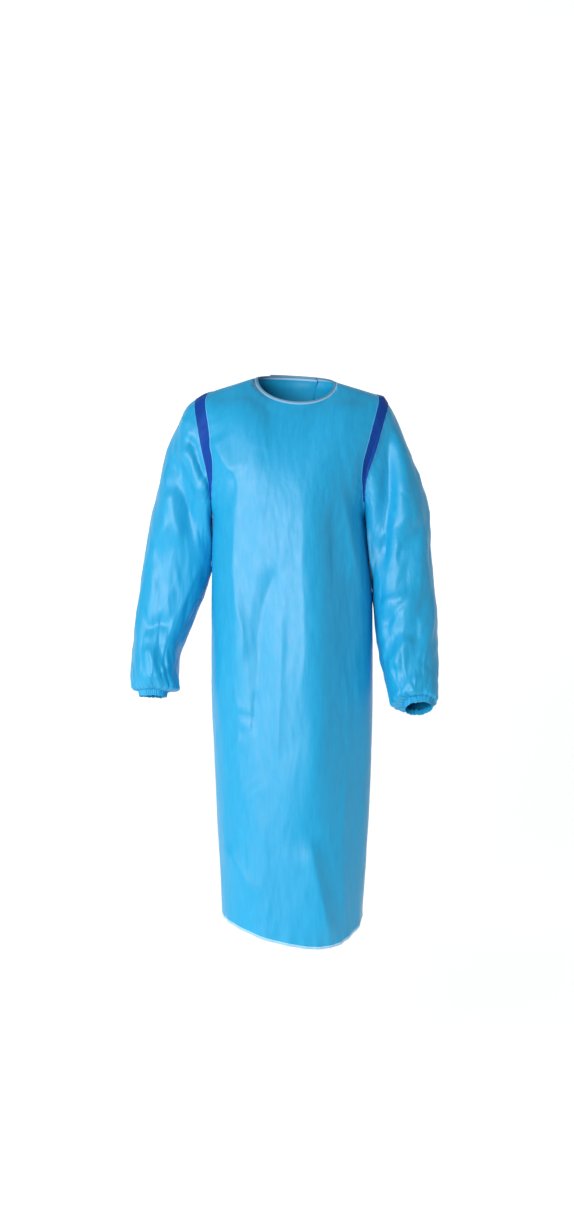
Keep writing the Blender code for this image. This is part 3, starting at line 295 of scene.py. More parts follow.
SLEEVE_CREASES = {
    -1: (
        (((-0.212, -0.120), (-0.170, -0.235)), 0.016, 0.020, 0.0070, 0.3),
        (((-0.200, -0.105), (-0.166, -0.195)), 0.012, 0.012, -0.0060, 0.3),
        (((-0.224, -0.140), (-0.214, -0.215), (-0.190, -0.320)), 0.018, 0.022, -0.0110, 0.2),
        (((-0.272, -0.330), (-0.246, -0.240), (-0.240, -0.150)), 0.026, 0.022, 0.0070, 0.2),
        (((-0.236, -0.205), (-0.230, -0.255), (-0.214, -0.330)), 0.018, 0.014, 0.0070, 0.4),
        (((-0.292, -0.490), (-0.264, -0.472), (-0.236, -0.480)), 0.016, 0.018, -0.0055, 0.3),
        (((-0.288, -0.510), (-0.276, -0.545), (-0.284, -0.590)), 0.016, 0.014, 0.0050, 0.3),
        # the tuck beside the tape and its crest
        (((-0.204, -0.108), (-0.189, -0.155), (-0.163, -0.207)), 0.006, 0.008, -0.0045, 0.7),
        (((-0.219, -0.132), (-0.198, -0.193), (-0.162, -0.240)), 0.007, 0.007, 0.0032, 0.9),
        (((-0.219, -0.064), (-0.199, -0.112)), 0.007, 0.006, 0.0020, 0.8),
        (((-0.213, -0.077), (-0.180, -0.098)), 0.006, 0.006, 0.0018, 0.8),
        (((-0.234, -0.128), (-0.230, -0.193), (-0.215, -0.228), (-0.197, -0.290)),
         0.006, 0.008, -0.0030, 0.8),
        (((-0.286, -0.350), (-0.259, -0.300), (-0.222, -0.262)), 0.008, 0.012, 0.0022, 0.8),
        (((-0.176, -0.345), (-0.205, -0.406), (-0.230, -0.468)), 0.009, 0.007, 0.0024, 0.8),
        (((-0.269, -0.340), (-0.278, -0.425), (-0.284, -0.490)), 0.010, 0.010, 0.0016, 0.6),
        (((-0.238, -0.400), (-0.261, -0.458)), 0.008, 0.010, 0.0016, 0.7),
        # elbow to wrist
        (((-0.300, -0.498), (-0.279, -0.478), (-0.258, -0.473), (-0.230, -0.483)),
         0.005, 0.006, -0.0026, 0.9),
        (((-0.268, -0.500), (-0.243, -0.510), (-0.222, -0.524)), 0.007, 0.008, 0.0022, 0.7),
        (((-0.289, -0.506), (-0.275, -0.541), (-0.275, -0.567), (-0.285, -0.597)),
         0.006, 0.007, 0.0026, 0.9),
        (((-0.215, -0.522), (-0.249, -0.557), (-0.286, -0.590)), 0.006, 0.008, 0.0026, 0.9),
        (((-0.240, -0.532), (-0.230, -0.565), (-0.245, -0.597)), 0.007, 0.006, -0.0024, 0.8),
        (((-0.300, -0.540), (-0.297, -0.590)), 0.006, 0.006, 0.0018, 0.7),
    ),
    1: (
        (((0.202, -0.085), (0.204, -0.190), (0.192, -0.300)), 0.014, 0.032, 0.0060, 0.2),
        (((0.184, -0.060), (0.187, -0.190), (0.174, -0.290), (0.160, -0.390)),
         0.030, 0.014, -0.0190, 0.1),
        (((0.148, -0.318), (0.200, -0.280), (0.255, -0.250)), 0.018, 0.020, 0.0055, 0.3),
        (((0.166, -0.380), (0.210, -0.320), (0.255, -0.262)), 0.014, 0.014, -0.0045, 0.3),
        (((0.164, -0.458), (0.214, -0.420), (0.196, -0.490)), 0.014, 0.016, 0.0080, 0.3),
        (((0.186, -0.558), (0.206, -0.530), (0.224, -0.490)), 0.016, 0.018, 0.0070, 0.3),
        # the crest down the upper arm and the shade beside it
        (((0.198, -0.108), (0.200, -0.177), (0.193, -0.250)), 0.008, 0.006, 0.0014, 0.8),
        (((0.226, -0.110), (0.231, -0.170), (0.229, -0.230)), 0.012, 0.008, -0.0016, 0.6),
        # drag lines from the underarm
        (((0.149, -0.326), (0.174, -0.297), (0.201, -0.278)), 0.006, 0.007, 0.0026, 0.9),
        (((0.164, -0.385), (0.203, -0.320), (0.255, -0.255)), 0.007, 0.006, 0.0026, 0.9),
        (((0.195, -0.352), (0.239, -0.308)), 0.007, 0.007, -0.0018, 0.8),
        (((0.251, -0.265), (0.257, -0.349), (0.261, -0.430)), 0.007, 0.008, 0.0016, 0.7),
        # elbow to wrist
        (((0.160, -0.460), (0.174, -0.431), (0.199, -0.422), (0.216, -0.430)),
         0.006, 0.006, 0.0028, 0.9),
        (((0.210, -0.431), (0.197, -0.462), (0.182, -0.500)), 0.006, 0.006, 0.0028, 0.9),
        (((0.186, -0.445), (0.178, -0.480)), 0.006, 0.006, -0.0030, 0.8),
        (((0.181, -0.558), (0.199, -0.525), (0.226, -0.494)), 0.006, 0.007, 0.0030, 0.9),
        (((0.200, -0.616), (0.218, -0.579), (0.251, -0.575)), 0.006, 0.007, 0.0030, 0.9),
        (((0.218, -0.579), (0.231, -0.610)), 0.006, 0.006, 0.0026, 0.9),
        (((0.233, -0.533), (0.251, -0.548), (0.270, -0.567)), 0.006, 0.008, -0.0028, 0.8),
        (((0.222, -0.443), (0.253, -0.476)), 0.008, 0.007, 0.0018, 0.7),
        (((0.168, -0.400), (0.157, -0.502)), 0.006, 0.008, -0.0020, 0.7),
        (((0.176, -0.502), (0.172, -0.546)), 0.006, 0.006, 0.0020, 0.7),
        (((0.243, -0.500), (0.236, -0.540)), 0.006, 0.007, 0.0016, 0.8),
    ),
}
SLEEVE_BACK_CREASES = {
    -1: (
        (((-0.250, -0.330), (-0.190, -0.290)), 0.020, 0.020, 0.0060, 0.2),
        (((-0.290, -0.450), (-0.220, -0.420)), 0.018, 0.020, -0.0055, 0.2),
        (((-0.300, -0.520), (-0.245, -0.545)), 0.016, 0.016, 0.0050, 0.2),
        (((-0.175, -0.120), (-0.205, -0.210), (-0.200, -0.300)), 0.008, 0.012, 0.0028, 0.8),
        (((-0.165, -0.290), (-0.210, -0.305), (-0.262, -0.290)), 0.007, 0.008, 0.0026, 0.9),
        (((-0.172, -0.330), (-0.222, -0.352), (-0.280, -0.345)), 0.007, 0.007, 0.0024, 0.9),
        (((-0.200, -0.410), (-0.245, -0.432), (-0.296, -0.420)), 0.006, 0.008, -0.0026, 0.8),
        (((-0.215, -0.470), (-0.255, -0.500), (-0.305, -0.505)), 0.006, 0.007, 0.0026, 0.9),
        (((-0.232, -0.580), (-0.262, -0.545), (-0.305, -0.535)), 0.006, 0.007, 0.0026, 0.9),
        (((-0.250, -0.200), (-0.262, -0.270)), 0.010, 0.008, 0.0018, 0.7),
    ),
    1: (
        (((0.240, -0.300), (0.170, -0.330)), 0.020, 0.020, 0.0060, 0.2),
        (((0.262, -0.420), (0.190, -0.450)), 0.018, 0.020, -0.0055, 0.2),
        (((0.262, -0.520), (0.200, -0.560)), 0.016, 0.016, 0.0050, 0.2),
        (((0.165, -0.130), (0.186, -0.220), (0.180, -0.310)), 0.010, 0.008, 0.0028, 0.8),
        (((0.146, -0.310), (0.190, -0.322), (0.240, -0.300)), 0.008, 0.007, 0.0026, 0.9),
        (((0.152, -0.352), (0.200, -0.372), (0.255, -0.360)), 0.007, 0.007, 0.0024, 0.9),
        (((0.165, -0.440), (0.210, -0.452), (0.262, -0.430)), 0.007, 0.006, -0.0026, 0.8),
        (((0.172, -0.500), (0.215, -0.520), (0.268, -0.510)), 0.006, 0.007, 0.0026, 0.9),
        (((0.196, -0.600), (0.225, -0.565), (0.268, -0.560)), 0.006, 0.007, 0.0026, 0.9),
        (((0.226, -0.190), (0.240, -0.262)), 0.008, 0.010, 0.0018, 0.7),
    ),
}

# ---- stage -----------------------------------------------------------------------------------------
FLOOR_Z = -1.507           # under the wearer's feet
FLOOR_FRONT = -0.9
FLOOR_HALF_WIDTH = 8
BACKDROP_Y = 4.6
BACKDROP_BEND = 1.6
BACKDROP_HEIGHT = 6.0
PAPER_WALL = 0.002
CAMERA_PLACE = (-0.01365, -3.4, -0.45435)
CAMERA_LENS = 51.03
LIGHT_COLUMNS = ("name", "place", "aim", "size", "power")
LIGHTS = (
    ("key_light", (-3.0, -2.8, 0.1), (0.0, 0.0, -0.5), 1.6, 55.0),
    ("front_light", (-1.4, -3.8, -0.1), (0.0, 0.0, -0.55), 1.6, 102.0),
    ("fill_light", (4.0, -1.0, 0.6), (0.0, 0.0, -0.5), 2.5, 8.0),
)
AIR_COLOUR = "#F4F8FB"
AIR_STRENGTH = 0.32
PAPER_GLOW = 0.50

# crumple: soft facets of film-coated cloth, (pitch along the cloth, pitch across, height) in metres
CRUMPLE_TRUNK = ((0.340, 0.070, 0.0006), (0.150, 0.034, 0.0002), (0.060, 0.022, 0.0001))
CRUMPLE_SLEEVE = ((0.120, 0.070, 0.0014), (0.055, 0.042, 0.0004), (0.028, 0.024, 0.0001))
CRUMPLE_WAVES = 5
SLEEVE_ROUND = 0.42        # a sleeve's girth, over which its crumple closes on itself
CLEAR_OF_HEM = 0.05        # cloth without an overlocked hem is mapped this far from one
FIBRE_PITCH = 0.0024       # streaks of fibres in the cloth, across and down it
FIBRE_RUN = 0.040


# ==== sizes and colours that a user would change ===================================================
def linear(colour):
    """An sRGB hex colour as linear red, green and blue."""
    parts = (int(colour[i:i + 2], 16) / 255 for i in (1, 3, 5))
    return tuple(c / 12.92 if c <= 0.04045 else ((c + 0.055) / 1.055) ** 2.4 for c in parts)


def length(name, description, default):
    """A length property in metres."""
    return bpy.props.FloatProperty(name=name, description=description, default=default, min=0.0,
                                   precision=4, unit="LENGTH")


def colour(name, description, default):
    """A colour property with an sRGB hex default."""
    return bpy.props.FloatVectorProperty(name=name, description=description, default=linear(default),
                                         subtype="COLOR", size=3, min=0.0, max=1.0)


class GownSizes(bpy.types.PropertyGroup):
    cloth_wall: length("Cloth", "Thickness of the nonwoven as it is modelled", 0.0011)
    tape_width: length("Tape width", "Width of the sealing tape over the armhole seams", 0.028)
    tape_wall: length("Tape", "Thickness of the sealing tape", 0.0006)
    tape_margin: length("Tape margin", "Clear film edge along each side of the tape", 0.0013)
    binding_width: length("Binding width", "Height of the neck binding", 0.0080)
    binding_wall: length("Binding", "Thickness of the folded neck binding", 0.0021)
    cuff_length: length("Cuff length", "Height of the elastic wrist hem", 0.012)
    gather_depth: length("Gather depth", "Height of the gathers above the elastic", 0.0024)
    hem_width: length("Overlock width", "How far the overlock seam reaches up the cloth", 0.0050)
    stitch_pitch: length("Stitch pitch", "Distance from one overlock stitch to the next", 0.0032)
    thread: length("Thread", "Diameter of the sewing thread", 0.0005)
    tab_wall: length("Fastener", "Thickness of the hook-and-loop tab", 0.0016)
    tie_width: length("Tie width", "Width of the waist ties", 0.024)
    tie_wall: length("Tie", "Thickness of the waist ties", 0.0010)
    knot_depth: length("Knot depth", "How far the knot stands off the back", 0.0080)
    gathers: bpy.props.IntProperty(name="Gathers", description="Gathers round each cuff", default=21,
                                   min=6, max=40)
    crease_depth: bpy.props.FloatProperty(name="Crease depth", description="Share of the creases' height",
                                          default=1.0, min=0.0, max=1.5, subtype="FACTOR")


class GownColours(bpy.types.PropertyGroup):
    cloth: colour("Cloth", "Film side of the nonwoven", "#129CD0")
    cloth_light: colour("Cloth, thin", "Nonwoven where the web is thinner", "#1CA5D7")
    tape: colour("Tape", "Sealing tape", "#0046A6")
    tape_margin: colour("Tape margin", "Clear edge of the sealing tape", "#58B6EA")
    binding: colour("Binding", "Outer half of the neck binding", "#9FD2F6")
    # painted shade: the binding's inner half is coloured grey-blue where its fold turns in towards the neck
    binding_fold_painted_shade: colour("Binding fold", "Inner half of the neck binding", "#6F9FBE")
    thread: colour("Thread", "Overlock thread", "#E9F5FC")
    overlock: colour("Overlock", "Cloth edge under the overlock thread", "#8CCBF0")
    fastener: colour("Fastener", "Hook-and-loop tab", "#DCE7EC")
    floor: colour("Floor", "Studio floor and backdrop", "#F6F7F6")


# ==== arithmetic ====================================================================================
def smooth(knots, values, at):
    """Cubic curve through a table's values, each slope taken from the neighbours."""
    k = np.asarray(knots, float)
    v = np.asarray(values, float)
    slope = np.gradient(v, k, axis=0)
    at = np.clip(np.asarray(at, float), k[0], k[-1])
    i = np.clip(np.searchsorted(k, at, side="right") - 1, 0, len(k) - 2)
    h = k[i + 1] - k[i]
    t = (at - k[i]) / h
    if v.ndim > 1:
        h = h[..., None]
        t = t[..., None]
    a = v[i] * (1 + 2 * t) * (1 - t) ** 2 + v[i + 1] * t * t * (3 - 2 * t)
    return a + h * (slope[i] * t * (1 - t) ** 2 - slope[i + 1] * t * t * (1 - t))


def ease(t):
    """0 to 1 with level ends."""
    t = np.clip(t, 0, 1)
    return t * t * (3 - 2 * t)


def unit(v):
    """Vectors of length 1."""
    return v / np.maximum(np.linalg.norm(v, axis=-1, keepdims=True), 1e-12)


def mix(a, b, share):
    """a at share 0, b at share 1."""
    return a + (b - a) * share


def normals(grid, closed=False):
    """Outward normals: the slope down the rows crossed with the slope along the columns."""
    if closed:
        wide = np.concatenate((grid[:, -1:], grid, grid[:, :1]), 1)
        across = np.gradient(wide, axis=1)[:, 1:-1]
    else:
        across = np.gradient(grid, axis=1)
    return unit(np.cross(np.gradient(grid, axis=0), across))


def crease_height(grid, normal, creases, facing):
    """How far the creases move each point out: each is height times exp(-(distance / width) ** p)
    from its path, with p between 2 (soft) and 1.1 (sharp), faded at its ends and where the cloth
    turns from the view along Y. facing is -1 on the front and 1 on the back."""
    x, z = grid[..., 0], grid[..., 2]
    height = np.zeros_like(x)
    for path, left_width, right_width, rise, sharpness in creases:
        knots = np.arange(len(path))
        line = smooth(knots, path, np.linspace(0, len(path) - 1, 4 * len(path)))
        reach = 3 * max(left_width, right_width)
        low, high = line.min(0) - reach, line.max(0) + reach
        near = (x > low[0]) & (x < high[0]) & (z > low[1]) & (z < high[1])
        start, step = line[:-1], np.diff(line, axis=0)
        dx = x[near][:, None] - start[:, 0]
        dz = z[near][:, None] - start[:, 1]
        t = np.clip((dx * step[:, 0] + dz * step[:, 1]) / (step ** 2).sum(1), 0, 1)
        gap = np.hypot(dx - t * step[:, 0], dz - t * step[:, 1])
        closest = gap.argmin(-1)[:, None]
        gap = np.take_along_axis(gap, closest, -1)[:, 0]
        side = np.take_along_axis(step[:, 0] * dz - step[:, 1] * dx, closest, -1)[:, 0]
        along = (closest + np.take_along_axis(t, closest, -1))[:, 0] / len(step)
        width = np.where(side > 0, right_width, left_width)
        ends = ease(along / CREASE_FADE) * ease((1 - along) / CREASE_FADE)
        height[near] += rise * np.exp(-(gap / width) ** (2 - 0.9 * sharpness)) * ends
    return height * ease(facing * normal[..., 1] / CREASE_TURN)


def whole(frequency, period):
    """Waves for each metre, moved to the nearest count that closes on itself over a period."""
    return frequency if period is None else round(frequency * period) / period


def crumple(along, across, layers, seed, period=None):
    """Facets of stiff film: for each layer, the middle one of five sine waves that run in random
    directions over lengths along and across the cloth, so that its planes meet in fine ridges
    and valleys."""
    random = np.random.default_rng(seed)
    height = np.zeros_like(along)
    for pitch_along, pitch_across, rise in layers:
        waves = []
        for _ in range(CRUMPLE_WAVES):
            turn, phase = random.uniform(0, math.pi), random.uniform(0, 2 * math.pi)
            stretch = random.uniform(0.7, 1.4)
            u = along * stretch * math.cos(turn) / pitch_along
            u = u + across * whole(stretch * math.sin(turn) / pitch_across, period)
            bend = along * 0.33 / pitch_along + across * whole(0.59 / pitch_across, period)
            waves.append(np.sin(2 * math.pi * (u + 0.06 * np.sin(2 * math.pi * bend + phase)) + phase))
        height += 1.4 * rise * np.sort(np.array(waves), 0)[CRUMPLE_WAVES // 2]
    return height


# ==== the gown's surfaces ===========================================================================
def section(height):
    """Middle x, half width, front depth and back depth of the trunk at a height."""
    row = smooth(TRUNK[:, 0], TRUNK[:, 1:], height)
    right, left = row[..., 0], row[..., 1]
    return (right + left) / 2, (left - right) / 2, row[..., 2], row[..., 3]


def trunk_point(angle, height):
    """Point of the trunk: angle 0 is the front, -90 the wearer's right, 180 the back. Each section
    is a superellipse, |x / half| ** n + |y / depth| ** n = 1."""
    middle, half, front, back = section(height)
    s, c = np.sin(np.radians(angle)), np.cos(np.radians(angle))
    depth = np.where(c > 0, front, back)
    r = (np.abs(s / half) ** ROUNDNESS + np.abs(c / depth) ** ROUNDNESS) ** (-1 / ROUNDNESS)
    return np.stack(np.broadcast_arrays(middle + r * s, -r * c, height), -1)


def sleeve_ring(side, s, phi):
    """Point of a sleeve: s from 0 at the armhole to 1 at the wrist, phi from the outer point with
    90 at the front. A superellipse between the ring's two side points."""
    table = SLEEVE[side]
    row = smooth(np.linspace(0, 1, len(table)), table, s)
    outer = np.stack((row[..., 0], row[..., 4], row[..., 1]), -1)
    inner = np.stack((row[..., 2], row[..., 4], row[..., 3]), -1)
    lean = np.radians(row[..., 6])
    front = np.stack((0 * lean, -np.cos(lean), np.sin(lean)), -1)
    c, n = np.cos(np.radians(phi)), np.sin(np.radians(phi))
    r = (np.abs(c) ** SLEEVE_ROUNDNESS + np.abs(n) ** SLEEVE_ROUNDNESS) ** (-1 / SLEEVE_ROUNDNESS)
    across = (outer - inner) / 2 * (r * c)[..., None]
    return (outer + inner) / 2 + across + front * (r * n * row[..., 5])[..., None]


def armhole_bulge(side, phi):
    """The armhole seam's x beyond its straight side, at an angle."""
    column = ARMHOLE_COLUMNS.index("right" if side < 0 else "left")
    return side * smooth(ARMHOLE[:, 0], ARMHOLE[:, column], np.mod(phi, 360))


def armhole_point(side, phi):
    """Point of the armhole seam, side -1 for the wearer's right and 1 for the left."""
    phi = np.asarray(phi, float)
    point = sleeve_ring(side, 0 * phi, phi)
    point[..., 0] += armhole_bulge(side, phi)
    return point


def top_line(w, front):
    """Top line of the front or back from one shoulder point (w -1) to the other (w 1): straight
    shoulder seams with half an ellipse of neckline between them."""
    alpha = np.clip(w / NECK_SHARE, -1, 1) * math.pi / 2
    base = mix(NECK_RIGHT_Z, NECK_LEFT_Z, (1 + np.sin(alpha)) / 2)
    reach = -NECK_FRONT_REACH if front else NECK_BACK_REACH
    rise = -NECK_FRONT_DROP if front else NECK_BACK_RISE
    x = NECK_X + NECK_HALF_WIDTH * np.sin(alpha)
    neck = np.stack((x, NECK_Y + reach * np.cos(alpha), base + rise * np.cos(alpha)), -1)
    share = np.clip((np.abs(w) - NECK_SHARE) / (1 - NECK_SHARE), 0, 1)[..., None]
    tip = np.where((w < 0)[..., None], armhole_point(-1, 0), armhole_point(1, 0))
    return mix(neck, tip, share)


def side_angle_at(side, tau, front):
    """How far round a trunk panel's side edge lies, in degrees from the front."""
    seam = armhole_point(side, 180 * tau * (1 if front else -1))
    off_middle = np.abs(seam[..., 0] - section(seam[..., 2])[0])
    return np.degrees(np.arctan2(off_middle, -seam[..., 1]))


def underarm_level(w):
    """Height of the row that runs from underarm to underarm, lower between them."""
    straight = mix(armhole_point(-1, 180)[2], armhole_point(1, 180)[2], (1 + w) / 2)
    return straight - UNDERARM_DIP * np.sqrt(np.maximum(1 - np.abs(w), 0))


def yoke_point(w, tau, front):
    """Point above the underarm, without the armhole: a column rounds over from the top line
    (tau 0) in a quarter circle and comes down to the underarm's level (tau 1)."""
    side_angle = np.where(w < 0, side_angle_at(-1, tau, front), side_angle_at(1, tau, front))
    angle = w * side_angle if front else 180 - w * (180 - side_angle)
    top = top_line(w, front)
    low = underarm_level(w)
    evenness = EVEN_FALL * (1 - w * w)
    fall = mix((1 - np.cos(math.pi * tau)) / 2, tau, evenness)
    level = mix(top[..., 2], low, fall)
    begin = NECK_SLOPE_START * np.cos(np.clip(w / NECK_SHARE, -1, 1) * math.pi / 2)
    round_over = mix(begin, 1, np.clip((top[..., 2] - level) / YOKE_DROP, 0, 1))
    first = np.sqrt(1 - (1 - begin) ** 2)
    out = (np.sqrt(np.maximum(1 - (1 - round_over) ** 2, 0)) - first) / (1 - first)
    point = trunk_point(angle, level)
    point[..., :2] = mix(top[..., :2], point[..., :2], out[..., None])
    return point, angle


def trunk_surface(w, v, front):
    """Middle of the trunk's cloth. w runs from the wearer's right (-1) to the left (1), v from
    the top line (0) past the underarm to the hem (1). The side edges are the armholes down to
    the underarm, and the side seams below it."""
    w, v = np.broadcast_arrays(w, v)
    tau = np.clip(v / YOKE_SHARE, 0, 1)
    down = np.clip((v - YOKE_SHARE) / (1 - YOKE_SHARE), 0, 1)
    point, angle = yoke_point(w, tau, front)
    low = underarm_level(w)
    hem = smooth(HEM[:, 0], HEM[:, 1], angle)
    skirt = trunk_point(angle, mix(low, hem, down))
    point = np.where((down > 0)[..., None], skirt, point)
    for side in (-1, 1):
        seam = armhole_point(side, 180 * tau * (1 if front else -1))
        missed = seam - yoke_point(np.full_like(tau, side), tau, front)[0]
        near = ease(np.clip(side * w, 0, 1)) * (1 - ease(down * 5))
        point = point + missed * near[..., None]
    return point


def clear_of_trunk(side, point, s):
    """Moves a sleeve's points out to a little way off the trunk's side, softly."""
    middle, half, front, back = section(point[..., 2])
    share = np.clip(np.abs(point[..., 1]) / np.where(point[..., 1] < 0, front, back), 0, 0.97)
    limit = half * (1 - share ** ROUNDNESS) ** (1 / ROUNDNESS) + SLEEVE_CLEAR * ease(s / 0.09)
    reach = side * (point[..., 0] - middle)
    clear = (reach + limit + np.sqrt((reach - limit) ** 2 + CLEAR_SOFTNESS ** 2)) / 2
    moved = point.copy()
    moved[..., 0] = middle + side * mix(reach, clear, ease(s / 0.06))
    return moved


def sleeve_surface(side, s, phi):
    """Middle of a sleeve's cloth, without its creases."""
    s, phi = np.broadcast_arrays(s, phi)
    point = sleeve_ring(side, s, phi)
    point[..., 0] += armhole_bulge(side, phi) * (1 - ease(s / BULGE_FADE))
    off_bottom = np.abs(np.mod(phi, 360) - 180)
    point[..., 0] += side * UNDERARM_STEP * ease((70 - off_bottom) / 50) * (1 - ease(s / 0.12))
    return clear_of_trunk(side, point, s)


# ==== grids of each panel ===========================================================================
def steps(begin, end, count):
    """REFINE points for each of count steps of the pattern, both ends included."""
    return np.linspace(begin, end, count * REFINE + 1)


def front_columns():
    """w of the front's columns, with one at each neck point."""
    neck = steps(-NECK_SHARE, NECK_SHARE, NECK_STEPS)
    outer = steps(NECK_SHARE, 1, SHOULDER_STEPS)[1:]
    return np.concatenate((-outer[::-1], neck, outer))


def rows():
    """v of the trunk panels' rows."""
    return steps(0, 1, PANEL_ROWS)[:, None]


def way_along(grid, axis, start=0):
    """Length of the cloth along each row (axis 1) or column (axis 0), in metres, from a start."""
    gaps = np.linalg.norm(np.diff(grid, axis=axis), axis=-1)
    first = np.zeros_like(gaps.take([0], axis))
    way = np.concatenate((first, np.cumsum(gaps, axis)), axis)
    return way - way.take([start], axis)


def averaged(grid, reach):
    """Each point's average with its neighbours down the rows, up to a reach either way."""
    wide = np.pad(grid, ((reach + 1, reach), (0, 0), (0, 0)), "reflect", reflect_type="odd")
    total = np.cumsum(wide, 0)
    return (total[2 * reach + 1:] - total[:-2 * reach - 1]) / (2 * reach + 1)


def softened(grid, v):
    """Rounds the corner that the neck point would leave down the yoke: each row drawn towards its
    own average over SOFT_REACH columns to either side, from a little below the top line on."""
    average = averaged(grid.swapaxes(0, 1), SOFT_REACH).swapaxes(0, 1)
    return mix(grid, average, (ease(v / 0.05) * ease((0.62 - v) / 0.2))[..., None])


def free_edge(side, v):
    """w of a back panel's free edge: an even line down the back."""
    column = LAP_COLUMNS.index("under_edge" if side < 0 else "over_edge")
    angle = np.interp(v, LAP[:, 0], LAP[:, column])
    tau = np.clip(v * PANEL_ROWS / YOKE_ROWS, 0, 1)
    return angle / (180 - side_angle_at(-side, tau, False))


def back_columns(side, v):
    """w of a back panel's columns: from its side edge to its neck point, then to its free edge."""
    edge = free_edge(side, v)
    shoulder = side * steps(1, NECK_SHARE, SHOULDER_STEPS)[None, :-1] + 0 * v
    lap = mix(side * NECK_SHARE, edge, steps(0, 1, LAP_STEPS)[None, :])
    return np.concatenate((shoulder, lap), 1)


def seam_pull(w, v):
    """Short pulls square to the armhole seams, where the cloth is eased into them: 1 at the seam
    and 0 a hand's width away."""
    return np.exp(-((1 - np.abs(w)) / 0.10)) * (1 - ease((v - YOKE_SHARE) * 12))


def trunk_relief(grid, normal, w, v, creases, facing, seed, share, middle):
    """How far the trunk's cloth stands out: its creases, its crumple, the pulls along its seams
    and the fine waves of the overlocked hem. middle is the column nearest the figure's middle."""
    across, down = way_along(grid, 1, middle), way_along(grid, 0)
    rise = crease_height(grid, normal, creases, facing) * share
    calm = 1 - 0.75 * np.exp(-(v / 0.03)) - 0.5 * np.exp(-((1 - np.abs(w)) / 0.05))
    rise = rise + crumple(-grid[..., 2], across, CRUMPLE_TRUNK, seed) * calm * share
    pulls = np.sin(down * 2 * math.pi / PULL_PITCH + 2 * np.sin(down * 61 + seed))
    rise = rise + PULL_RISE * pulls * seam_pull(w, v) * share
    waves = np.sin(across * 2 * math.pi / WAVE_PITCH + 3 * np.sin(across * 23 + seed))
    return rise + WAVE_RISE * waves * np.exp(-((1 - v) / 0.010)) * share


@functools.cache
def front_grid(share):
    """Front panel with its creases: grid, normals."""
    w, v = np.broadcast_arrays(front_columns()[None, :], rows())
    grid = softened(trunk_surface(w, v, True), v)
    chest = ease((1 - np.abs(w)) / 0.3) * ease(v / 0.1) * ease((0.8 - v) / 0.2)
    grid = mix(grid, averaged(grid, CHEST_REACH), chest[..., None])
    normal = normals(grid)
    edge = ease((1 - np.abs(w)) / 0.02) * ease(v / 0.012)
    rise = trunk_relief(grid, normal, w, v, FRONT_CREASES, -1, 11, share, w.shape[1] // 2)
    grid = grid + normal * (rise * edge)[..., None]
    return grid, normals(grid)


def back_surface(side, w, v, share):
    """Middle of a back panel's cloth; the left panel rises over the right one. The columns run
    rightwards seen from behind, from the wearer's left to the right."""
    grid = softened(trunk_surface(w, v, False), v)
    normal = normals(grid)
    off_free = np.abs(w - free_edge(side, v))
    edge = ease((1 - np.abs(w)) / 0.02) * ease(v / 0.012)
    rise = crease_height(grid, normal, BACK_CREASES, 1) * share
    own = trunk_relief(grid, normal, w, v, (), 1, 30 + side, share, -1 if side > 0 else 0)
    own = own * ease(off_free / 0.03 + 0.4)
    if side > 0:
        rise = rise * edge + own * edge
        rise = rise + LAP_RISE * ease((free_edge(-1, v) + LAP_RUN[0] - w) / LAP_RUN[1])
    else:
        covered = ease((w - free_edge(1, v) + 0.03) / 0.05)
        rise = (rise + own * (1 - 0.9 * covered)) * edge
    return grid + normal * rise[..., None]


@functools.cache
def back_grid(side, share):
    """Back panel of one side: grid, normals."""
    w = back_columns(side, rows())
    if side < 0:
        w = w[:, ::-1]
    grid = back_surface(side, w, rows() + 0 * w, share)
    return grid, normals(grid)


@functools.cache
def sleeve_grid(side, share, gathers, gather_depth):
    """A sleeve: rows run from the armhole down, columns round it, and its gathers swell towards
    the elastic. A gather is |cos| of half its phase: a round ridge between two sharp valleys."""
    phi = np.arange(ARMHOLE_CELLS) * 360 / ARMHOLE_CELLS * -side
    s = steps(0, 1, SLEEVE_ROWS)[:, None]
    grid = sleeve_surface(side, s, phi[None, :])
    normal = normals(grid, closed=True)
    rise = crease_height(grid, normal, SLEEVE_CREASES[side], -1)
    rise = rise + crease_height(grid, normal, SLEEVE_BACK_CREASES[side], 1)
    turn = np.radians(phi)[None, :]
    down = way_along(grid, 0)
    around = np.mod(phi, 360)[None, :] / 360 + 0 * s
    facets = crumple(down, around * SLEEVE_ROUND, CRUMPLE_SLEEVE, 50 + side, SLEEVE_ROUND)
    facets = facets * mix(0.6, 1.3, s)
    rise = (rise + facets * (1 - 0.7 * np.exp(-s / 0.02))) * ease(s / 0.06)
    uneven = 0.8 * np.sin(2 * turn + side) + 0.5 * np.sin(5 * turn + 2) + 0.3 * np.sin(9 * turn)
    wave = np.abs(np.cos((gathers * turn + uneven) / 2))
    strength = 1 + 0.45 * np.sin(3 * turn + 1) + 0.35 * np.sin(7 * turn + side)
    start = GATHER_START + 0.05 * np.sin(4 * turn + 2) + 0.04 * np.sin(11 * turn)
    gather = ease((s - start) / (1 - start)) * strength
    pull = np.sin(turn * 2 * gathers + 3 * np.sin(3 * turn)) * np.exp(-down / 0.018) * ease(s / 0.02)
    rise = rise * (1 - 0.6 * ease((s - GATHER_START) / (1 - GATHER_START)))
    rise = rise + (wave - 0.6) * 2 * gather_depth * gather / 1.6 + SLEEVE_PULL_RISE * pull
    grid = grid + normal * (rise * share)[..., None]
    return grid, normals(grid, closed=True)


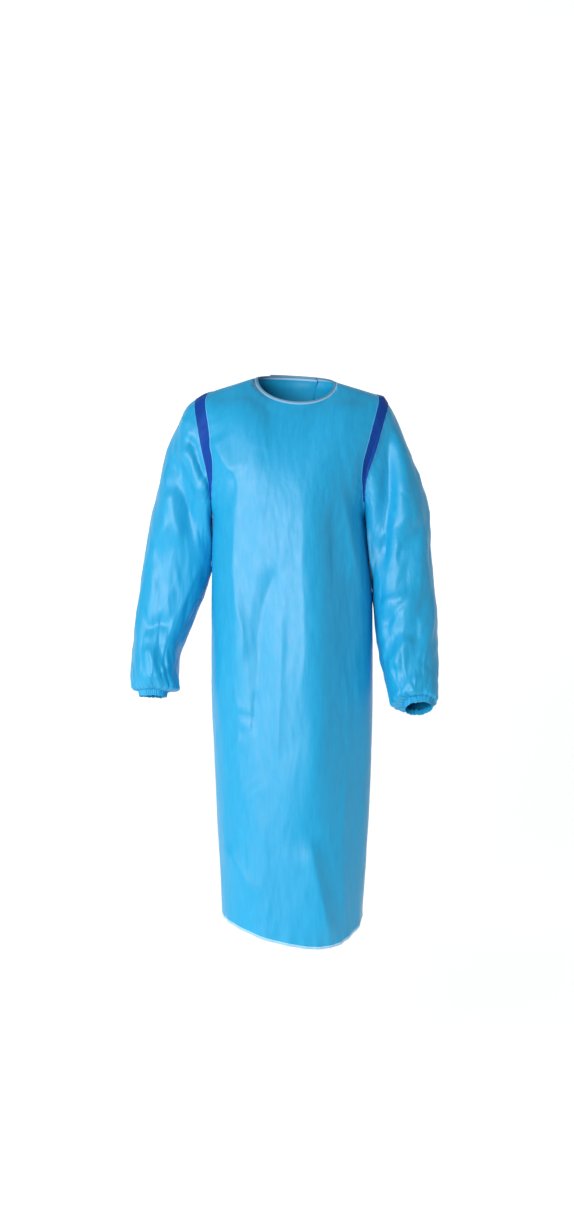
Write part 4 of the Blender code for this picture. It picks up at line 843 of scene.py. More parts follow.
@functools.cache
def cuff_grid(side, share, gathers, gather_depth, cuff_length):
    """The elastic hem: carries the sleeve's last ring on along its way, a little narrower, and
    evens its gathers out to fine puckers held by rows of elastic."""
    ring = sleeve_grid(side, share, gathers, gather_depth)[0][-1]
    count = len(ring)
    middle = ring.mean(0)
    axis = unit(np.cross(ring[count // 4] - middle, ring[0] - middle))
    if axis[2] > 0:
        axis = -axis
    wide = np.concatenate((ring[-count // 2:], ring, ring[:count // 2]))
    span = count // gathers
    total = np.cumsum(wide, 0)
    evened = ((total[span:] - total[:-span]) / span)[count // 2 - span // 2:][:count]
    down = np.linspace(0, 1, CUFF_ROWS * 3 + 1)[:, None, None]
    line = mix(ring[None], evened[None], 0.6 * ease(down * 2))
    grid = middle + (line - middle) * mix(1, CUFF_GRIP, down) + axis * cuff_length * down
    normal = normals(grid, closed=True)
    turn = np.linspace(0, 2 * math.pi, count, endpoint=False)[None, :]
    tall = down[..., 0]
    puckers = np.sin(PUCKERS * turn + 2 * np.sin(3 * turn)) * (0.7 + 0.3 * np.sin(11 * turn))
    elastic = np.cos(tall * 2 * math.pi * ELASTIC_ROWS) ** 2
    rise = (PUCKER_RISE * puckers - ELASTIC_RISE * elastic) * ease(tall * 5) * share
    grid = grid + normal * rise[..., None]
    return grid, normals(grid, closed=True)


def mitred(normal, mate):
    """The way out along a seam that both of its pieces share, long enough for the full wall."""
    both = normal + mate
    return both / np.maximum(1 + (normal * mate).sum(-1, keepdims=True), 0.45)


class Gown:
    """The grids of every large piece, with the ways out of their walls shared along the seams."""

    def __init__(self, sizes):
        """Works each grid out, then shares the ways out seam by seam."""
        share, gathers, depth = sizes.crease_depth, sizes.gathers, sizes.gather_depth
        self.front, front_normal = front_grid(share)
        self.back, self.sleeve, self.cuff = {}, {}, {}
        self.front_normal = front_normal.copy()
        self.back_normal, self.sleeve_normal, self.cuff_normal = {}, {}, {}
        for side in (-1, 1):
            self.back[side], normal = back_grid(side, share)
            self.back_normal[side] = normal.copy()
            self.sleeve[side], normal = sleeve_grid(side, share, gathers, depth)
            self.sleeve_normal[side] = normal.copy()
            self.cuff[side], normal = cuff_grid(side, share, gathers, depth, sizes.cuff_length)
            self.cuff_normal[side] = normal.copy()
        for side in (-1, 1):
            self.join(side)
        self.join_shoulders()

    def trunk(self, side, in_front):
        """Grid, normals and side column of the front or of one back panel."""
        if in_front:
            return self.front, self.front_normal, 0 if side < 0 else -1
        return self.back[side], self.back_normal[side], -1 if side < 0 else 0

    def join(self, side):
        """Shares the ways out along one side's armhole, side seam and cuff seam."""
        top = YOKE_ROWS * REFINE
        sleeve = self.sleeve_normal[side]
        for in_front in (True, False):
            _, normal, edge = self.trunk(side, in_front)
            station = np.arange(top + 1) * (1 if in_front else -1)
            column = armhole_column(side, station)
            both = mitred(normal[:top + 1, edge], sleeve[0, column])
            inner = column[1:] if in_front else column[1:-1]
            sleeve[0, inner] = both[1:] if in_front else both[1:-1]
            normal[:top + 1, edge] = both
        _, front, front_edge = self.trunk(side, True)
        _, back, back_edge = self.trunk(side, False)
        both = mitred(front[top + 1:, front_edge], back[top + 1:, back_edge])
        front[top + 1:, front_edge] = both
        back[top + 1:, back_edge] = both
        both = mitred(sleeve[-1], self.cuff_normal[side][0])
        sleeve[-1] = both
        self.cuff_normal[side][0] = both

    def join_shoulders(self):
        """Shares the ways out along the shoulder seams."""
        count = SHOULDER_STEPS * REFINE
        for side in (-1, 1):
            front = np.s_[:count + 1] if side < 0 else np.s_[-1:-count - 2:-1]
            back = np.s_[-1:-count - 2:-1] if side < 0 else np.s_[:count + 1]
            both = mitred(self.front_normal[0, front], self.back_normal[side][0, back])
            self.front_normal[0, front] = both
            self.back_normal[side][0, back] = both


def armhole_column(side, station):
    """The sleeve's column at an armhole's station: fine steps from its top, forward above zero."""
    return np.mod(-side * station, ARMHOLE_CELLS)


# ==== from grids to meshes ==========================================================================
def add_mesh(name, points, quads, uv, uv_quads, material):
    """A named object from whole arrays: points, quads of point numbers, and a flat map in metres
    called cloth."""
    mesh = bpy.data.meshes.new(name)
    mesh.vertices.add(len(points))
    mesh.vertices.foreach_set("co", points.ravel())
    mesh.loops.add(quads.size)
    mesh.loops.foreach_set("vertex_index", quads.ravel())
    mesh.polygons.add(len(quads))
    mesh.polygons.foreach_set("loop_start", np.arange(len(quads)) * quads.shape[1])
    layer = mesh.uv_layers.new(name="cloth")
    layer.data.foreach_set("uv", uv[uv_quads.ravel()].ravel())
    mesh.update(calc_edges=True)
    mesh.validate()
    mesh.materials.append(material)
    mesh.shade_smooth()
    mesh.set_sharp_from_angle(angle=math.radians(SHARP_ANGLE))
    piece = bpy.data.objects.new(name, mesh)
    bpy.context.scene.collection.objects.link(piece)
    return piece


def wall_quads(top, low, closed):
    """Quads of a closed wall between two grids of point numbers, with its open edges finished."""
    quads = [
        np.stack((top[:-1, :-1], top[1:, :-1], top[1:, 1:], top[:-1, 1:]), -1),
        np.stack((low[:-1, :-1], low[:-1, 1:], low[1:, 1:], low[1:, :-1]), -1),
        np.stack((top[0, :-1], top[0, 1:], low[0, 1:], low[0, :-1]), -1),
        np.stack((top[-1, :-1], low[-1, :-1], low[-1, 1:], top[-1, 1:]), -1),
    ]
    if not closed:
        quads.append(np.stack((top[:-1, 0], low[:-1, 0], low[1:, 0], top[1:, 0]), -1))
        quads.append(np.stack((top[:-1, -1], top[1:, -1], low[1:, -1], low[:-1, -1]), -1))
    return np.concatenate([part.reshape(-1, 4) for part in quads])


def shell(name, grid, normal, thickness, uv, material, closed=False):
    """A wall on a grid: grid + normal * thickness / 2 outside, grid - normal * thickness / 2
    inside. uv has one column more than a closed grid."""
    count_v, count_u = grid.shape[:2]
    half = normal * (thickness / 2)
    points = np.concatenate((grid + half, grid - half)).reshape(-1, 3)
    index = np.arange(count_v * count_u).reshape(count_v, count_u)
    if closed:
        index = np.concatenate((index, index[:, :1]), 1)
    spot = np.arange(uv.shape[0] * uv.shape[1]).reshape(uv.shape[:2])
    quads = wall_quads(index, index + count_v * count_u, closed)
    uv_quads = wall_quads(spot, spot, closed)
    return add_mesh(name, points, quads, uv.reshape(-1, 2), uv_quads, material)


def tube(name, path, steady, radius, sides, material):
    """A thread: a ring of a few sides round each point of a path, drawn together at its ends. The
    ring's two ways are the path's own direction crossed with a steady one, and crossed again."""
    ahead = unit(np.gradient(path, axis=0))
    first = unit(np.cross(ahead, steady))
    second = np.cross(ahead, first)
    turn = np.linspace(0, 2 * math.pi, sides, endpoint=False)[None, :, None]
    size = np.full((len(path), 1, 1), radius)
    size[[0, -1]] = radius / 50
    points = path[:, None] + (np.cos(turn) * first[:, None] + np.sin(turn) * second[:, None]) * size
    index = np.arange(len(path) * sides).reshape(len(path), sides)
    index = np.concatenate((index, index[:, :1]), 1)
    quads = np.stack((index[:-1, :-1], index[:-1, 1:], index[1:, 1:], index[1:, :-1]), -1)
    way = way_along(path[:, None], 0)
    uv = np.stack(np.broadcast_arrays(turn[..., 0] * radius, way), -1).reshape(-1, 2)
    quads = quads.reshape(-1, 4)
    return add_mesh(name, points.reshape(-1, 3), quads, uv, quads, material)


def flat_map(grid, start=0, closed=False, from_hem=False):
    """The cloth laid flat, in metres: across it from a start column and down its rows, or up from
    its hem."""
    if closed:
        grid = np.concatenate((grid, grid[:, :1]), 1)
    across, down = way_along(grid, 1, start), way_along(grid, 0)
    if from_hem:
        down = down[-1:] - down
    else:
        down = down + CLEAR_OF_HEM
    return np.stack((across, down), -1)


# ==== materials =====================================================================================
def add_node(tree, kind, inputs=None, **settings):
    """A node with its settings; each input, by name or number, is linked where it is a socket and
    set where it isn't."""
    node = tree.nodes.new(kind)
    for name, value in settings.items():
        setattr(node, name, value)
    for name, value in (inputs or {}).items():
        if isinstance(value, bpy.types.NodeSocket):
            tree.links.new(value, node.inputs[name])
        else:
            node.inputs[name].default_value = value
    return node


def shade_of(colour, share=1.0):
    """A colour with its light scaled by a share, opaque."""
    return (*(share * part for part in colour), 1.0)


def new_material(name, finish):
    """A named material: its tree, its shader with the finish set on its sockets, and its flat map
    in metres."""
    material = bpy.data.materials.new(name)
    material.use_nodes = True
    tree = material.node_tree
    shader = tree.nodes["Principled BSDF"]
    for socket, value in finish.items():
        shader.inputs[socket].default_value = value
    flat = add_node(tree, "ShaderNodeUVMap", uv_map="cloth").outputs["UV"]
    return material, tree, shader, flat


def coated_nonwoven(colours, sizes):
    """Spunbond polypropylene with a polyethylene film pressed on, non-metallic, satin. The fibres
    lie mostly down the cloth and show through the film as a fine grain of thin and thick streaks;
    small bond points hold them. The film gives a soft, broad gloss over it all."""
    material, tree, shader, flat = new_material("coated_nonwoven_polypropylene", {
        "Roughness": 0.45, "IOR": 1.49, "Specular IOR Level": 0.45, "Coat Weight": 0.14,
        "Coat Roughness": 0.35})
    # streaks: bundles of 0.02 mm fibres, drawn 2.4 mm apart so that they show
    at = add_node(tree, "ShaderNodeMapping",
                  {"Vector": flat, "Scale": (1 / FIBRE_PITCH, 1 / FIBRE_RUN, 1)})
    fibres = add_node(tree, "ShaderNodeTexNoise",
                      {"Vector": at.outputs[0], "Scale": 1.0, "Detail": 3.0}).outputs["Fac"]
    # clouds: the web is laid a little thicker here and there
    at = add_node(tree, "ShaderNodeMapping", {"Vector": flat, "Scale": (1 / 0.012, 1 / 0.030, 1)})
    web = add_node(tree, "ShaderNodeTexNoise",
                   {"Vector": at.outputs[0], "Scale": 1.0, "Detail": 2.0}).outputs["Fac"]
    # bond points: 0.8 mm apart on the real cloth, drawn 2 mm apart
    at = add_node(tree, "ShaderNodeMapping", {"Vector": flat, "Scale": (1 / 0.0020, 1 / 0.0026, 1)})
    bonds = add_node(tree, "ShaderNodeTexVoronoi",
                     {"Vector": at.outputs[0], "Scale": 1.0, "Randomness": 0.2}).outputs["Distance"]
    thin = add_node(tree, "ShaderNodeMath", {0: web, 1: 0.45}, operation="MULTIPLY").outputs[0]
    thin = add_node(tree, "ShaderNodeMath", {0: fibres, 1: 0.75, 2: thin},
                    operation="MULTIPLY_ADD").outputs[0]
    thin = add_node(tree, "ShaderNodeMapRange",
                    {"Value": thin, "From Min": 0.40, "From Max": 0.80}).outputs[0]
    body = add_node(tree, "ShaderNodeMix", {
        "Factor": thin, 6: shade_of(colours.cloth), 7: shade_of(colours.cloth_light)},
        data_type="RGBA").outputs[2]
    up = add_node(tree, "ShaderNodeSeparateXYZ", {"Vector": flat}).outputs["Y"]
    hem = add_node(tree, "ShaderNodeMapRange", {
        "Value": up, "From Min": sizes.hem_width * 0.96, "From Max": sizes.hem_width * 1.04,
        "To Min": 1.0, "To Max": 0.0}).outputs[0]
    both = add_node(tree, "ShaderNodeMix", {"Factor": hem, 6: body, 7: shade_of(colours.overlock)},
                    data_type="RGBA").outputs[2]
    tree.links.new(both, shader.inputs["Base Color"])
    gloss = add_node(tree, "ShaderNodeMapRange", {
        "Value": web, "From Min": 0.3, "From Max": 0.7, "To Min": 0.41, "To Max": 0.50}).outputs[0]
    tree.links.new(gloss, shader.inputs["Roughness"])
    bonds = add_node(tree, "ShaderNodeMapRange",
                     {"Value": bonds, "From Min": 0.12, "From Max": 0.40}).outputs[0]
    height = add_node(tree, "ShaderNodeMath", {0: bonds, 1: 0.3, 2: fibres},
                      operation="MULTIPLY_ADD").outputs[0]
    fine = add_node(tree, "ShaderNodeBump", {"Height": height, "Distance": 0.00022, "Strength": 0.8})
    tree.links.new(fine.outputs[0], shader.inputs["Normal"])
    return material


def seam_tape(colours, sizes):
    """Polyethylene sealing tape pressed on hot, non-metallic: a dark film with clear edges that let
    the cloth show, faintly embossed by the press."""
    material, tree, shader, flat = new_material("heat_sealed_polyethylene_tape", {
        "Roughness": 0.6, "IOR": 1.51, "Specular IOR Level": 0.25})
    across = add_node(tree, "ShaderNodeSeparateXYZ", {"Vector": flat}).outputs["X"]
    off_seam = add_node(tree, "ShaderNodeMath", {0: across}, operation="ABSOLUTE").outputs[0]
    at = add_node(tree, "ShaderNodeMapping", {"Vector": flat, "Scale": (1 / 0.016, 1 / 0.060, 1)})
    cloudy = add_node(tree, "ShaderNodeTexNoise",
                      {"Vector": at.outputs[0], "Scale": 1.0, "Detail": 2.0}).outputs["Fac"]
    # the press's emboss is 0.5 mm, drawn at 1.2 mm
    fine = add_node(tree, "ShaderNodeTexNoise",
                    {"Vector": flat, "Scale": 1 / 0.0012, "Detail": 3.0}).outputs["Fac"]
    light = add_node(tree, "ShaderNodeMath", {0: fine, 1: 0.3}, operation="MULTIPLY").outputs[0]
    light = add_node(tree, "ShaderNodeMath", {0: cloudy, 1: 0.7, 2: light},
                     operation="MULTIPLY_ADD").outputs[0]
    light = add_node(tree, "ShaderNodeMapRange",
                     {"Value": light, "From Min": 0.35, "From Max": 0.65}).outputs[0]
    body = add_node(tree, "ShaderNodeMix", {
        "Factor": light, 6: shade_of(colours.tape, 0.7), 7: shade_of(colours.tape)},
        data_type="RGBA").outputs[2]
    inner = sizes.tape_width / 2 - sizes.tape_margin
    edge = add_node(tree, "ShaderNodeMapRange", {
        "Value": off_seam, "From Min": inner - 0.0001, "From Max": inner + 0.0001}).outputs[0]
    both = add_node(tree, "ShaderNodeMix", {"Factor": edge, 6: body, 7: shade_of(colours.tape_margin)},
                    data_type="RGBA").outputs[2]
    tree.links.new(both, shader.inputs["Base Color"])
    gloss = add_node(tree, "ShaderNodeMapRange", {
        "Value": cloudy, "From Min": 0.3, "From Max": 0.7, "To Min": 0.52, "To Max": 0.64}).outputs[0]
    tree.links.new(gloss, shader.inputs["Roughness"])
    bump = add_node(tree, "ShaderNodeBump", {"Height": fine, "Distance": 0.0002, "Strength": 0.6})
    tree.links.new(bump.outputs[0], shader.inputs["Normal"])
    return material


def folded_binding(colours, sizes):
    """Uncoated spunbond binding, non-metallic and matt, folded over the neck edge: its inner half, where
    the fold turns in, is painted greyer as shade, and crosswise ribs show where the fold is drawn together."""
    material, tree, shader, flat = new_material("folded_nonwoven_binding", {"Roughness": 0.55, "IOR": 1.49})
    down = add_node(tree, "ShaderNodeSeparateXYZ", {"Vector": flat}).outputs["Y"]
    # ribs 1.1 mm apart and 6 mm long
    at = add_node(tree, "ShaderNodeMapping", {"Vector": flat, "Scale": (1 / 0.0011, 1 / 0.006, 1)})
    ribs = add_node(tree, "ShaderNodeTexNoise",
                    {"Vector": at.outputs[0], "Scale": 1.0, "Detail": 3.0}).outputs["Fac"]
    light = add_node(tree, "ShaderNodeMapRange",
                     {"Value": ribs, "From Min": 0.3, "From Max": 0.7}).outputs[0]
    outer = add_node(tree, "ShaderNodeMix", {
        "Factor": light, 6: shade_of(colours.binding, 0.86), 7: shade_of(colours.binding)},
        data_type="RGBA").outputs[2]
    # inner half: a greyer copy of the binding's colour, painted as the shade where the fold turns in
    inner = add_node(tree, "ShaderNodeMix", {
        "Factor": light, 6: shade_of(colours.binding_fold_painted_shade, 0.8), 7: shade_of(colours.binding_fold_painted_shade)},
        data_type="RGBA").outputs[2]
    half = sizes.binding_width * BINDING_PAINTED_SHADE_SHARE
    share = add_node(tree, "ShaderNodeMapRange", {
        "Value": down, "From Min": half - 0.0002, "From Max": half + 0.0002}).outputs[0]
    both = add_node(tree, "ShaderNodeMix", {"Factor": share, 6: inner, 7: outer},
                    data_type="RGBA").outputs[2]
    tree.links.new(both, shader.inputs["Base Color"])
    bump = add_node(tree, "ShaderNodeBump", {"Height": ribs, "Distance": 0.0003, "Strength": 0.8})
    tree.links.new(bump.outputs[0], shader.inputs["Normal"])
    return material


def overlock_thread(colours, sizes):
    """Spun polyester sewing thread, non-metallic and dull: two plies that wind round each other."""
    material, tree, shader, flat = new_material("spun_polyester_thread", {"Roughness": 0.6, "IOR": 1.54})
    # a turn of the plies each 2.2 mm of thread
    at = add_node(tree, "ShaderNodeMapping", {"Vector": flat, "Rotation": (0, 0, 0.6)})
    plies = add_node(tree, "ShaderNodeTexWave",
                     {"Vector": at.outputs[0], "Scale": 1 / 0.0022, "Distortion": 0.5}).outputs["Fac"]
    body = add_node(tree, "ShaderNodeMix", {
        "Factor": plies, 6: shade_of(colours.thread, 0.72), 7: shade_of(colours.thread)},
        data_type="RGBA").outputs[2]
    tree.links.new(body, shader.inputs["Base Color"])
    bump = add_node(tree, "ShaderNodeBump", {"Height": plies, "Distance": 0.0001, "Strength": 0.7})
    tree.links.new(bump.outputs[0], shader.inputs["Normal"])
    return material


def hook_and_loop(colours, sizes):
    """Knitted nylon loop tape, non-metallic: a short pile of tangled loops, so dull and mottled."""
    material, tree, shader, flat = new_material("nylon_hook_and_loop", {"Roughness": 0.85, "IOR": 1.53})
    # loops 1.2 mm apart
    pile = add_node(tree, "ShaderNodeTexNoise",
                    {"Vector": flat, "Scale": 1 / 0.0012, "Detail": 4.0}).outputs["Fac"]
    light = add_node(tree, "ShaderNodeMapRange",
                     {"Value": pile, "From Min": 0.3, "From Max": 0.7}).outputs[0]
    body = add_node(tree, "ShaderNodeMix", {
        "Factor": light, 6: shade_of(colours.fastener, 0.7), 7: shade_of(colours.fastener)},
        data_type="RGBA").outputs[2]
    tree.links.new(body, shader.inputs["Base Color"])
    bump = add_node(tree, "ShaderNodeBump", {"Height": pile, "Distance": 0.0008, "Strength": 0.9})
    tree.links.new(bump.outputs[0], shader.inputs["Normal"])
    return material


def studio_paper(colours, sizes):
    """Seamless opal sheet, matt, lit from behind as well, so that it's near white and the cloth
    before it isn't lit too brightly from the front."""
    material, tree, shader, flat = new_material("opal_studio_sheet", {
        "Roughness": 0.9, "IOR": 1.3, "Emission Color": shade_of(colours.floor),
        "Emission Strength": PAPER_GLOW})
    mottle = add_node(tree, "ShaderNodeTexNoise",
                      {"Vector": flat, "Scale": 3.0, "Detail": 2.0}).outputs["Fac"]
    body = add_node(tree, "ShaderNodeMix", {
        "Factor": mottle, 6: shade_of(colours.floor, 0.97), 7: shade_of(colours.floor)},
        data_type="RGBA").outputs[2]
    tree.links.new(body, shader.inputs["Base Color"])
    return material


MAKERS = {
    "cloth": coated_nonwoven, "tape": seam_tape, "binding": folded_binding,
    "thread": overlock_thread, "fastener": hook_and_loop, "paper": studio_paper,
}
PAINTED = {}               # each kind's material once it is made, for all of its pieces


def material_for(context, kind):
    """The material of one kind, made once."""
    if kind not in PAINTED:
        PAINTED[kind] = MAKERS[kind](context.scene.gown_colours, context.scene.gown_sizes)
    return PAINTED[kind]


# ==== trims =========================================================================================
def follow(lines, ways_out, distances):
    """Points and ways out at given distances along lines of points, one line in each row."""
    way = way_along(lines, 1)
    i = np.clip((way[:, None] <= distances[..., None]).sum(-1) - 1, 0, lines.shape[1] - 2)
    row = np.arange(len(lines))[:, None]
    t = ((distances - way[row, i]) / (way[row, i + 1] - way[row, i]))[..., None]
    return [mix(field[row, i], field[row, i + 1], t) for field in (lines, ways_out)]


def tape_strip(gown, side, sizes):
    """Tape over an armhole seam: points at even distances from the seam along the trunk's cloth
    and along the sleeve's, from under the arm up the back, over the shoulder and down the front.
    Its middle drifts onto the trunk below the shoulder, and its halves narrow at its ends."""
    end = round(TAPE_END * REFINE)
    reach = TAPE_REACH * REFINE
    station = np.arange(-end, end + 1)
    down = np.abs(station)
    parts = []
    for in_front in (True, False):
        grid, normal, edge = gown.trunk(side, in_front)
        inwards = np.s_[:reach] if edge == 0 else np.s_[:-reach - 1:-1]
        parts.append((grid[down, inwards], normal[down, inwards]))
    in_front = (station >= 0)[:, None, None]
    trunk, trunk_normal = (np.where(in_front, f, b) for f, b in zip(*parts))
    column = armhole_column(side, station)
    sleeve = gown.sleeve[side][:reach, column].transpose(1, 0, 2)
    sleeve_normal = gown.sleeve_normal[side][:reach, column].transpose(1, 0, 2)
    half = sizes.tape_width / 2
    drift = TAPE_DRIFT[side] * ease(down / REFINE / TAPE_DRIFT_STEPS)[:, None]
    left = (end - down)[:, None] / REFINE / TAPE_TUCK[side]
    trunk_side = TAPE_ACROSS * (half + drift) * mix(TAPE_LEFT["trunk"], 1, ease(left))
    sleeve_side = TAPE_ACROSS * (half - drift) * mix(TAPE_LEFT["sleeve"], 1, ease(left))
    on_trunk = follow(trunk, trunk_normal, trunk_side)
    on_sleeve = follow(sleeve, sleeve_normal, sleeve_side)
    lift = (sizes.cloth_wall + sizes.tape_wall) / 2 + TAPE_LIFT
    grid, normal = (np.concatenate((a[:, ::-1], b[:, 1:]), 1) for a, b in zip(on_sleeve, on_trunk))
    across = half * np.concatenate((-TAPE_ACROSS[::-1], TAPE_ACROSS[1:]))[None]
    if side > 0:
        grid, normal, across = grid[:, ::-1], normal[:, ::-1], across[:, ::-1]
    along = way_along(grid, 0).mean(1, keepdims=True)
    uv = np.stack(np.broadcast_arrays(across, along), -1)
    return grid + normal * lift, normal, uv


def binding_rise(w, back):
    """The binding's way from the neck seam to its free edge: in towards the neck and up."""
    alpha = w * math.pi / 2 / NECK_SHARE
    slope = np.radians(mix(BINDING_SLOPE["back" if back else "front"], BINDING_SLOPE["side"],
                           np.sin(alpha) ** 2))
    towards = -np.cos(alpha) if back else np.cos(alpha)
    return np.stack((-np.sin(alpha) * np.cos(slope), towards * np.cos(slope), np.sin(slope)), -1)


def binding_strip(gown, sizes):
    """Neck binding: one band round the neckline, from the lower back panel's free edge over the
    front to the upper back panel's. Across it, its wall swells from a round fold and is drawn in
    along the line of stitches."""
    lap, shoulder, neck = LAP_STEPS * REFINE, SHOULDER_STEPS * REFINE, NECK_STEPS * REFINE
    top = np.zeros((1, 1))
    between = np.s_[shoulder + 1:shoulder + neck]
    parts = (
        (gown.back[-1][0, :lap + 1], back_columns(-1, top)[0, ::-1][:lap + 1], True),
        (gown.front[0, between], front_columns()[between], False),
        (gown.back[1][0, shoulder:], back_columns(1, top)[0, shoulder:], True),
    )
    seam = np.concatenate([line for line, _, _ in parts])
    rise = np.concatenate([binding_rise(w, behind) for _, w, behind in parts])
    down = BINDING_DOWN
    grid = seam[None] + rise[None] * (sizes.binding_width * (1 - down))[:, None, None]
    rounded = np.sqrt(np.clip(1 - (1 - down / BINDING_ROUND) ** 2, 0, 1))
    fold = rounded * (down < BINDING_ROUND) + (down >= BINDING_ROUND)
    stitched = 1 - 0.35 * np.exp(-((down - 0.5) / 0.05) ** 2)
    thick = sizes.binding_wall * np.maximum(fold * stitched, 0.08)
    along = way_along(grid, 1)
    ripple = 1 + 0.10 * np.sin(along * 2 * math.pi / 0.0065) * (0.4 + 0.6 * np.sin(along * 31) ** 2)
    uv = np.stack(np.broadcast_arrays(along, (down * sizes.binding_width)[:, None]), -1)
    return grid, normals(grid), (thick[:, None] * ripple)[..., None], uv


def along_line(way, field, at):
    """A line's points or ways at given distances along it."""
    return np.stack([np.interp(at, way, field[:, k]) for k in range(3)], -1)


def add_overlock(name, grid, normal, sizes, material):
    """Overlock along a hem: one thread wound round the cloth's edge, a boxy coil with one turn for
    each stitch, and a needle thread that dips through the cloth above it."""
    line, out, up = grid[-1], unit(normal[-1]), unit(grid[-4] - grid[-1])
    way = way_along(line[None], 1)[0]
    stitches = round(way[-1] / sizes.stitch_pitch)
    at = np.linspace(0, way[-1], stitches * STITCH_POINTS + 1)
    turn = 2 * math.pi * stitches * at / way[-1]
    point, rise, side = (along_line(way, field, at) for field in (line, up, out))
    ahead = unit(np.gradient(point, axis=0))
    c, s = np.cos(turn), np.sin(turn)
    high = sizes.hem_width / 2 + (sizes.hem_width + sizes.thread) / 2 * np.sign(c) * np.abs(c) ** 0.6
    thick = (sizes.cloth_wall + sizes.thread) / 2 * np.sign(s) * np.abs(s) ** 0.45
    coil = point + rise * high[:, None] + side * thick[:, None]
    pieces = [tube(name + "_looper", coil, ahead, sizes.thread / 2, 5, material)]
    dip = sizes.cloth_wall / 2 + sizes.thread * (0.35 - 0.9 * np.exp(-((c - 1) / 0.25) ** 2))
    needle = point + rise * (sizes.hem_width * 0.93) + side * dip[:, None]
    pieces.append(tube(name + "_needle", needle, rise, sizes.thread / 2, 5, material))
    for piece in pieces:
        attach(piece, "root")
    return pieces


def on_back(gown, side, w, v, lift):
    """Points on a back panel's own cloth, moved out by a lift, with the ways out."""
    w, v, lift = np.broadcast_arrays(w, v, lift)
    edge = free_edge(side, v)
    past_neck = (w - side * NECK_SHARE) / (edge - side * NECK_SHARE)
    shoulder = (side - w) / (side * (1 - NECK_SHARE))
    column = np.where(side * w > NECK_SHARE, shoulder * SHOULDER_STEPS,
                      SHOULDER_STEPS + past_neck * LAP_STEPS) * REFINE
    if side < 0:
        column = (SHOULDER_STEPS + LAP_STEPS) * REFINE - column
    grid, normal = gown.back[side], gown.back_normal[side]
    row = v * (len(grid) - 1)
    i = np.clip(row.astype(int), 0, len(grid) - 2)
    j = np.clip(column.astype(int), 0, grid.shape[1] - 2)
    a, b = (row - i)[..., None], np.clip(column - j, 0, 1)[..., None]
    spots = [mix(mix(f[i, j], f[i, j + 1], b), mix(f[i + 1, j], f[i + 1, j + 1], b), a)
             for f in (grid, normal)]
    out = unit(spots[1])
    return spots[0] + out * lift[..., None], out


def band_over_edge(gown, w, v, lift):
    """A band's points and ways out: on the upper back panel up to its free edge, then down a soft
    step onto the lower panel."""
    edge = free_edge(1, v)
    upper, upper_out = on_back(gown, 1, np.maximum(w, edge), v, lift)
    rim = on_back(gown, 1, edge, v, lift)[0]
    lower, lower_out = on_back(gown, -1, np.minimum(w, edge), v, lift)
    under_rim = on_back(gown, -1, edge, v, lift)[0]
    past = ease((edge - w - EDGE_STEP) / (EDGE_FALL - EDGE_STEP))
    lower = lower + (rim - under_rim) * (1 - past)[..., None]
    on_upper = (w >= edge)[..., None]
    return np.where(on_upper, upper, lower), unit(np.where(on_upper, upper_out, lower_out))


def panel_map(w, v):
    """A band laid flat, in metres, from its w and v."""
    return np.stack((w * -ACROSS_BACK, v * DOWN_SKIRT + CLEAR_OF_HEM), -1)


def tie_relief(along, across, seed):
    """A ribbon's small folds: two soft pleats down its length that wander, and a slow twist."""
    wander = 0.35 * np.sin(along * 19 + seed)
    twist = np.sin(along * 47 + across + seed)
    return 0.0011 * np.cos(math.pi * (across * 1.6 + wander)) + 0.0008 * twist


def pleated(grid, normal, folds, pleat, across):
    """A ribbon moved out by its folds, where they rise, and by its pleats: the pleats' height
    times 1 + cos across it."""
    pleats = pleat * (1 + np.cos(across * 2.6 * math.pi))
    return grid + normal * (np.maximum(folds, 0) + pleats)[..., None]


# ==== operators =====================================================================================
def finish_piece(piece, node):
    """Ties a finished piece to the frame."""
    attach(piece, "root")
    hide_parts(node)
    return piece


class GownOperator:
    """What the operators of the gown's pieces share: the sizes and the grids."""

    bl_options = {"REGISTER", "UNDO"}

    def execute(self, context):
        """Builds this operator's pieces. An error in one stops the script."""
        sizes = context.scene.gown_sizes
        self.build(context, sizes, Gown(sizes))
        return {"FINISHED"}


class GOWN_OT_front(GownOperator, bpy.types.Operator):
    """Front panel, from the neck to the hem, with its overlocked edge"""

    bl_idname = "gown.front"
    bl_label = "Front panel"

    def build(self, context, sizes, gown):
        """The front's grid as a wall, with thread along its hem."""
        cloth = material_for(context, "cloth")
        uv = flat_map(gown.front, gown.front.shape[1] // 2, from_hem=True)
        front = shell("gown_front", gown.front, gown.front_normal, sizes.cloth_wall, uv, cloth)
        finish_piece(front, "front_panel")
        thread = material_for(context, "thread")
        hem = add_overlock("front_hem", gown.front, gown.front_normal, sizes, thread)


class GOWN_OT_backs(GownOperator, bpy.types.Operator):
    """Back panels, the left one over the right one, with their overlocked edges"""

    bl_idname = "gown.backs"
    bl_label = "Back panels"

    def build(self, context, sizes, gown):
        """Both back grids as walls, with thread along their hems."""
        cloth, thread = material_for(context, "cloth"), material_for(context, "thread")
        for side, word in SIDES:
            grid, normal = gown.back[side], gown.back_normal[side]
            uv = flat_map(grid, 0 if side < 0 else -1, from_hem=True)
            back = shell("gown_back_" + word, grid, normal, sizes.cloth_wall, uv, cloth)
            finish_piece(back, "back_panel_" + word)
            hem = add_overlock("back_hem_" + word, grid, normal, sizes, thread)


class GOWN_OT_sleeves(GownOperator, bpy.types.Operator):
    """Sleeves, bloused over the wrists"""

    bl_idname = "gown.sleeves"
    bl_label = "Sleeves"

    def build(self, context, sizes, gown):
        """Both sleeve grids as closed walls."""
        cloth = material_for(context, "cloth")
        for side, word in SIDES:
            grid = gown.sleeve[side]
            uv = flat_map(grid, closed=True)
            name = "gown_sleeve_" + word
            normal = gown.sleeve_normal[side]
            sleeve = shell(name, grid, normal, sizes.cloth_wall, uv, cloth, closed=True)
            finish_piece(sleeve, "sleeve_" + word)


